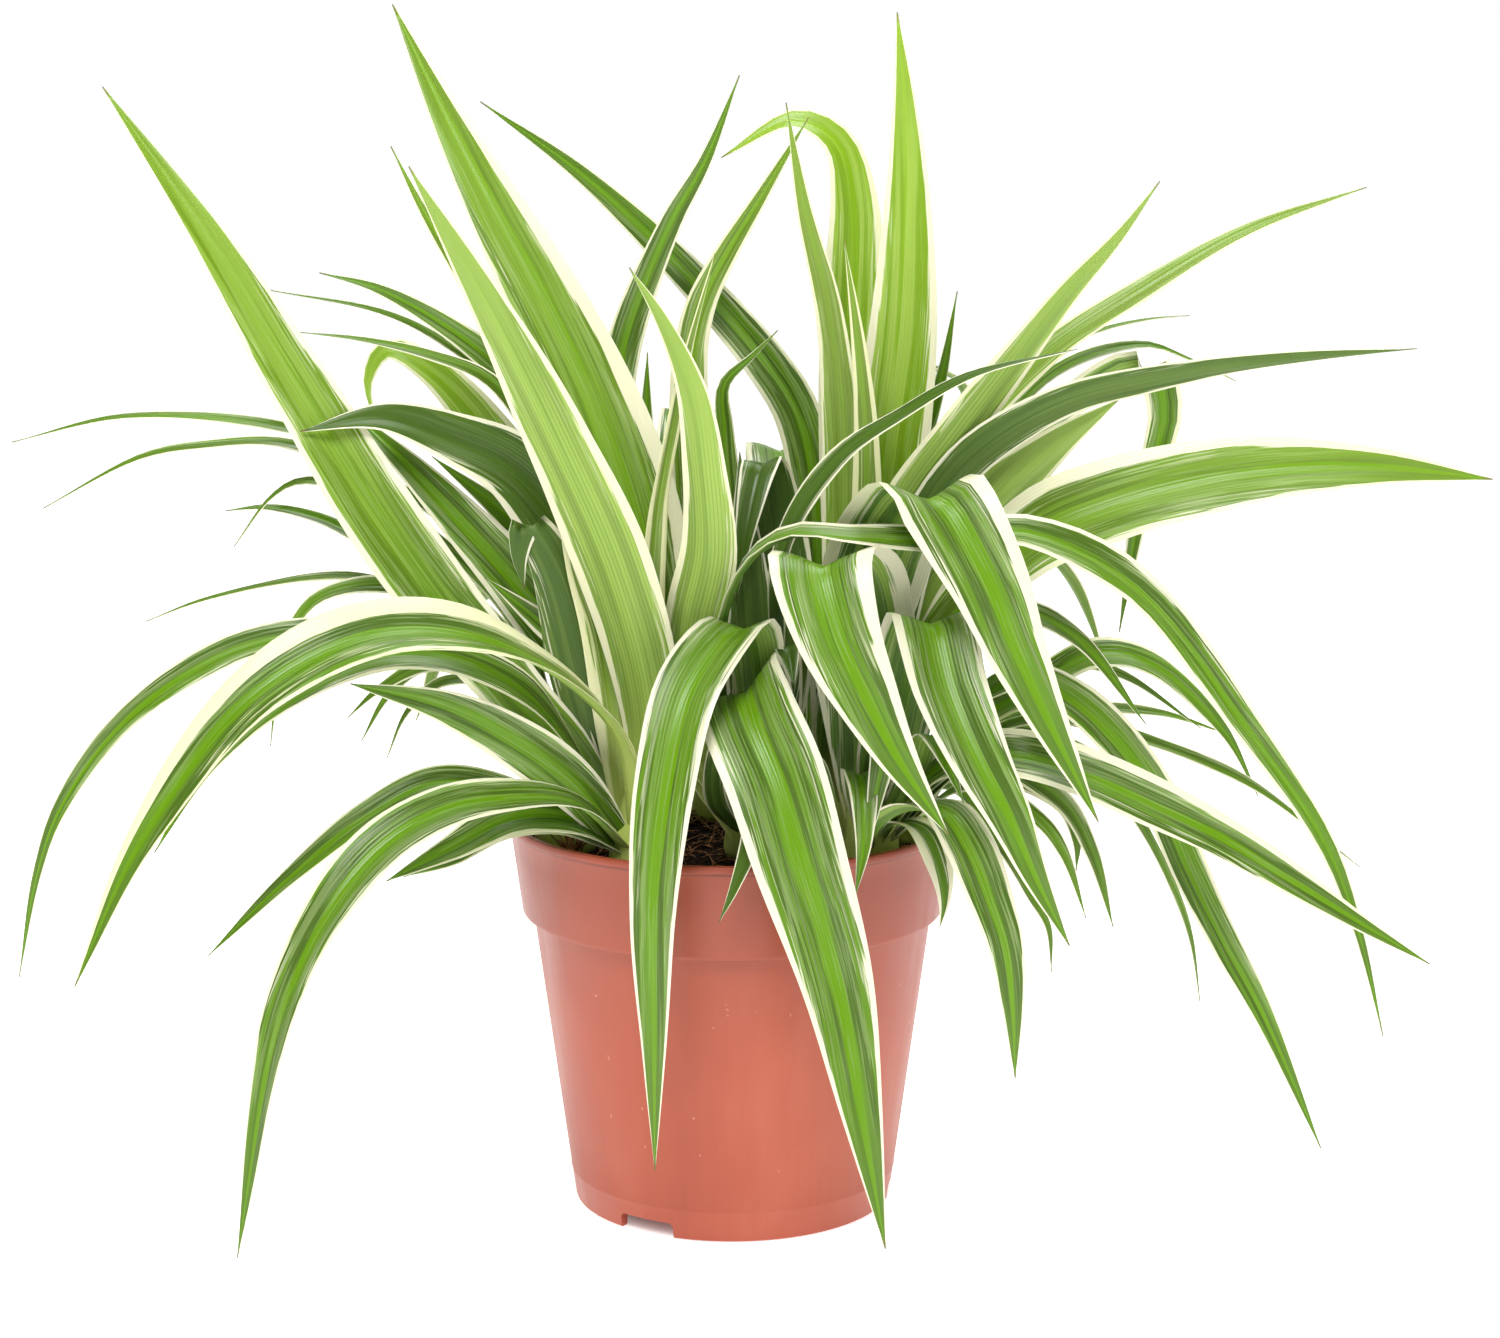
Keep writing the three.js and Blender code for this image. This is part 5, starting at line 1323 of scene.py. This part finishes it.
@dataclass
class PottingSoil:
    """The heaped potting mix with its crumbs and loose fibres, in millimetres."""

    pot: NurseryPot
    clearance: float = 0.45
    relief: float = 0.8
    roughness: float = 0.9
    crumbs_per_m2: float = 620000.0
    fibres_per_m2: float = 60000.0
    crumb_radius: float = 0.9
    fibre_radius: float = 0.16
    crumb_inset: float = 1.5
    fibre_inset: float = 6.2
    seed: int = 4

    def top(self, x: float, y: float) -> float:
        """Say how high the soil's surface lies over a place in the plan."""
        swell = math.sin(x / 7 + 1) * math.cos(y / 6) + 0.6 * math.sin((x - y) / 4)
        rough = noise.fractal(Vector((x, y, 3.0)) * 0.35, 1.0, 2.0, 4)
        return SOIL_LEVEL + self.relief * swell + self.roughness * rough

    def fill(self) -> bpy.types.Object:
        """Turn the fill and raise its crumbly top."""
        low = self.pot.low
        kink = low + 2 * self.pot.wall
        bottom = self.pot.base_plate + self.pot.wall + 0.3
        profile = [(0.0, bottom)]
        for height, lift in ((bottom, 0.0), (low, 0.3), (kink, 0.3), (SOIL_LEVEL, 0.0)):
            profile.append((self.pot.inside(height) - self.clearance, height + lift))
        edge = profile[-1][0]
        rings = 44
        profile += [(edge * ring / rings, SOIL_LEVEL) for ring in range(rings - 1, -1, -1)]
        body = turned(profile, 150)
        for vert in body.verts:
            x, y, z = (value / MM for value in vert.co)
            if z > SOIL_LEVEL - 0.01:
                fade = min(1.0, (edge - math.hypot(x, y)) / 2)
                vert.co.z = (SOIL_LEVEL + (self.top(x, y) - SOIL_LEVEL) * fade) * MM
        return object_of("soil_fill", settled(body, "soil_fill"))

    def litter_tree(self) -> bpy.types.NodeTree:
        """Build the tree that strews crumbs and bent fibres over the soil's top."""
        nodes = NodeTree("soil_litter")
        add = nodes.add
        densities = [nodes.take(name, "Float") for name in ("Crumb Density", "Fibre Density")]
        reaches = [nodes.take(name, "Float") for name in ("Crumb Reach", "Fibre Reach")]
        seed = nodes.take("Seed", "Int")
        materials = [nodes.take(name, "Material") for name in ("Material", "Root Material")]
        upward = add(MATH, add("ShaderNodeSeparateXYZ", add("GeometryNodeInputNormal")).outputs["Z"], 0.5,
                     operation="GREATER_THAN")
        flat = add(VECTOR, add("GeometryNodeInputPosition"), (1.0, 1.0, 0.0), **TIMES)
        radius = add(VECTOR, flat, operation="LENGTH")
        crumb = add("GeometryNodeMeshIcoSphere", {"Radius": self.crumb_radius * MM, "Subdivisions": 1})
        bend = add("GeometryNodeCurveQuadraticBezier", {"Resolution": 6, "Start": (-0.004, 0.0, 0.0002),
                                                        "Middle": (0.0, 0.0025, 0.003),
                                                        "End": (0.004, 0.0003, 0.0006)})
        ring = add("GeometryNodeCurvePrimitiveCircle", {"Resolution": 4,
                                                       "Radius": self.fibre_radius * MM})
        fibre = add("GeometryNodeCurveToMesh", {"Curve": bend, "Profile Curve": ring, "Fill Caps": True})
        # A crumb turns any way and is flattened; a fibre stays near level.
        turns = (((-3.1, -3.1, -3.1), (3.1, 3.1, 3.1)), ((-0.5, -0.5, 0.0), (0.5, 0.5, 6.28)))
        sizes = (((0.3, 0.3, 0.25), (1.5, 1.2, 0.9)), ((0.5, 0.5, 0.5), (1.6, 1.6, 1.2)))
        both = add("GeometryNodeJoinGeometry")
        ground = add("GeometryNodeSetMaterial", {"Geometry": nodes.source.outputs["Geometry"],
                                                 "Material": materials[0]})
        nodes.tree.links.new(ground.outputs[0], both.inputs[0])
        for item, density, reach, material, turn, size in zip(
                (crumb, fibre), densities, reaches, materials, turns, sizes):
            inside = add(MATH, add(MATH, radius, reach, operation="LESS_THAN"), upward, **TIMES)
            points = add("GeometryNodeDistributePointsOnFaces", {
                "Mesh": nodes.source.outputs["Geometry"], "Selection": inside,
                "Density": density, "Seed": seed})
            turned_by = add("FunctionNodeRandomValue", *turn, {"Seed": seed}, data_type="FLOAT_VECTOR")
            scaled_by = add("FunctionNodeRandomValue", *size, {"Seed": seed}, data_type="FLOAT_VECTOR")
            strewn = add("GeometryNodeInstanceOnPoints", {
                "Points": points, "Instance": item, "Rotation": turned_by, "Scale": scaled_by})
            real = add("GeometryNodeRealizeInstances", strewn)
            dressed = add("GeometryNodeSetMaterial", {"Geometry": real, "Material": material})
            nodes.tree.links.new(dressed.outputs[0], both.inputs[0])
        add("NodeGroupOutput", add("GeometryNodeRealizeInstances", both))
        return nodes.tree

    def build(self, finish: bpy.types.Material, root: bpy.types.Material) -> bpy.types.Object:
        """Fill the pot and strew the litter, in the place of the plain solid.

        Args:
            finish: The potting mix.
            root: The fibres' material.

        Returns:
            The soil.
        """
        edge = self.pot.inside(SOIL_LEVEL) - self.clearance
        soil = grown(self.fill(), self.litter_tree(), "soil_crumbly",
                     Crumb_Density=self.crumbs_per_m2, Fibre_Density=self.fibres_per_m2,
                     Crumb_Reach=(edge - self.crumb_inset) * MM,
                     Fibre_Reach=(edge - self.fibre_inset) * MM, Seed=self.seed, Material=finish,
                     Root_Material=root)
        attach(soil, "root")
        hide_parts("soil")
        return soil


@dataclass
class RootTuft:
    """Bare roots that stand out of the soil and bend over, in millimetres."""

    at: tuple[float, float] = (-41.0, -27.0)
    strands: int = 34
    thick: float = 0.45
    spread: float = 2.4
    stray: float = 1.8
    steps: int = 10
    thinning: float = 0.75
    leaders: tuple[tuple[Point, Point], ...] = (
        ((-2, 1, 8), (-3, 3, 16)), ((2, -1, 7), (6, -2, 11)), ((-3, -1, 5), (-5, -3, 7)),
        ((1, 2, 9), (0, 5, 18)), ((-3, 2, 6), (-6, 4, 9)))

    def tree(self) -> bpy.types.NodeTree:
        """Build the tree that gives each strand its round, tapering body."""
        nodes = NodeTree("root_strands")
        add = nodes.add
        thick = nodes.take("Thickness", "Float")
        material = nodes.take("Material", "Material")
        lines = add("GeometryNodeMeshToCurve", nodes.source.outputs["Geometry"])
        taper = add("GeometryNodeInputNamedAttribute", {"Name": "taper"}, data_type="FLOAT")
        thin = add(MATH, taper, thick, **TIMES)
        sized = add("GeometryNodeSetCurveRadius", {"Curve": lines, "Radius": thin})
        ring = add("GeometryNodeCurvePrimitiveCircle", {"Resolution": 6, "Radius": 1.0})
        sweep = add("GeometryNodeCurveToMesh", {"Curve": sized, "Profile Curve": ring, "Scale": thin,
                                                "Fill Caps": True})
        return nodes.finish(add("GeometryNodeSetShadeSmooth", sweep), material)

    def build(self, finish: bpy.types.Material) -> bpy.types.Object:
        """Grow the strands, in the place of the plain solid.

        Args:
            finish: The root fibre.

        Returns:
            The tuft.
        """
        dice = random.Random(17)
        points, edges, taper = [], [], []
        for number in range(self.strands):
            bend, tip = self.leaders[number % len(self.leaders)]
            start = (self.at[0] + dice.uniform(-self.spread, self.spread),
                     self.at[1] + dice.uniform(-self.spread, self.spread), SOIL_LEVEL - 1)
            shift = [dice.uniform(-self.stray, self.stray) for _ in range(3)]
            stretch = dice.uniform(0.5, 1.05)
            through = [start]
            for spot, loose in ((bend, 0.6), (tip, 1.0)):
                through.append((self.at[0] + stretch * spot[0] + loose * shift[0],
                                self.at[1] + stretch * spot[1] + loose * shift[1],
                                SOIL_LEVEL + stretch * spot[2] + loose * abs(shift[2])))
            path = CatmullPath(through, 12)
            for step in range(self.steps + 1):
                point, _ = path.at(step / self.steps)
                if step:
                    edges.append((len(points) - 1, len(points)))
                points.append(point * MM)
                taper.append(1.0 - self.thinning * step / self.steps)
        mesh = bpy.data.meshes.new("strands")
        mesh.from_pydata(points, edges, [])
        store(mesh, "FLOAT", taper=taper)
        tuft = grown(object_of("strands", mesh), self.tree(), "root_tuft_fibres",
                     Thickness=self.thick * MM, Material=finish)
        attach(tuft, "root")
        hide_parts("root_tuft")
        return tuft


# ---- studio -------------------------------------------------------------------------------


@dataclass
class Studio:
    """The pale floor, the soft lights and the camera."""

    floor_size: float = 6.0
    lens: float = 80.0
    eye: Point = (0.0047, -0.8682, 0.3104)
    downward_degrees: float = 10.85
    middle: Point = (0.0, 0.0, 0.15)
    room_light: float = 1.0
    ceiling_light: float = 0.45
    near_light: float = 0.15
    floor_glow: float = 0.75

    def backdrop(self) -> None:
        """Lay the plain pale floor."""
        half = self.floor_size / 2
        mesh = bpy.data.meshes.new("studio_floor")
        corners = [(-half, -half, 0), (half, -half, 0), (half, half, 0), (-half, half, 0)]
        mesh.from_pydata(corners, [], [(0, 1, 2, 3)])
        material, add = new_material("white_studio_paper")
        # The paper glows like a lit sweep, but not under the pot, where no light reaches it.
        place = add("ShaderNodeSeparateXYZ", add("ShaderNodeTexCoord").outputs["Object"])
        flat = add("ShaderNodeCombineXYZ", place.outputs["X"], place.outputs["Y"])
        reach = add(VECTOR, flat, operation="LENGTH")
        glow = add(RANGE, reach.outputs["Value"], 0.034, 0.046, 0.1, self.floor_glow, **SOFT)
        add("ShaderNodeOutputMaterial", add("ShaderNodeBsdfPrincipled", {
            "Base Color": "#f8f7f6", "Roughness": 0.8, "Specular IOR Level": 0.2,
            "Emission Color": "#ffffff", "Emission Strength": glow}))
        mesh.materials.append(material)
        floor = object_of("studio_floor", mesh)
        floor.location.z = -0.0002

    def softbox(self, name: str, place: Point, size: float, power: float) -> None:
        """Hang one square soft light that faces the plant's middle.

        Args:
            name: The light's name.
            place: Where it hangs, in metres.
            size: Its side.
            power: Its power in watts.
        """
        light = bpy.data.lights.new(name, "AREA")
        light.shape, light.size, light.energy = "SQUARE", size, power
        lamp = bpy.data.objects.new(name, light)
        lamp.location = place
        lamp.rotation_euler = (Vector(self.middle) - Vector(place)).to_track_quat("-Z", "Y").to_euler()
        bpy.context.scene.collection.objects.link(lamp)

    def surround(self) -> None:
        """Fill the room with soft white light."""
        world = bpy.data.worlds.new("white_room")
        world.use_nodes = True
        world.node_tree.nodes.clear()
        add = partial(add_node, world.node_tree)
        # The room is white low down. It is dimmer overhead, and most of all in front, so the
        # softboxes shape the leaves and no white veil lies over their greens.
        way = add("ShaderNodeSeparateXYZ", add("ShaderNodeTexCoord").outputs["Generated"])
        overhead = add(RANGE, way.outputs["Y"], -0.3, 0.35, self.near_light, self.ceiling_light, **SOFT)
        lift = add(RANGE, way.outputs["Z"], 0.05, 0.35, **SOFT)
        low_share = add(MATH, 1.0, lift, **MINUS)
        above = add(MATH, overhead, lift, **TIMES)
        strength = add(MATH, low_share, self.room_light, above, **TIMES_PLUS)
        add("ShaderNodeOutputWorld", add("ShaderNodeBackground", "#ffffff", strength))
        bpy.context.scene.world = world

    def build(self) -> None:
        """Set the stage, the lights and the camera."""
        self.backdrop()
        self.surround()
        self.softbox("key_softbox", (-0.2, -0.95, 1.25), 0.6, 16.0)
        self.softbox("fill_softbox", (1.1, -0.9, 0.8), 0.9, 3.0)
        self.softbox("top_softbox", (0.15, 0.3, 1.4), 0.8, 11.0)
        lens = bpy.data.cameras.new("camera")
        lens.lens, lens.sensor_width = self.lens, 36.0
        lens.clip_start, lens.clip_end = 0.01, 20.0
        camera = bpy.data.objects.new("camera", lens)
        camera.location = self.eye
        camera.rotation_euler = (math.radians(90 - self.downward_degrees), 0.0, 0.0)
        bpy.context.scene.collection.objects.link(camera)
        bpy.context.scene.camera = camera
        bpy.context.scene.view_settings.view_transform = "Standard"


# ---- the plant ------------------------------------------------------------------------------


def main() -> None:
    """Build the pot, the soil, the roots and the leafy shoots, and report each one."""
    logging.basicConfig(level=logging.INFO, format="%(message)s")
    leaf = VariegatedLeaf().make()
    root = DryRoot().make()
    pot = NurseryPot()
    made = [pot.build(MouldedPolypropylene().make()),
            PottingSoil(pot).build(PeatMix().make(), root),
            RootTuft().build(root)]
    sweep = blade_tree()
    for shoot in SHOOTS:
        made.append(shoot.build(sweep, leaf))
    for piece in made:
        log.info("%s: %d faces", piece.name, len(piece.data.polygons))
    Studio().build()


if __name__ == "__main__":
    main()
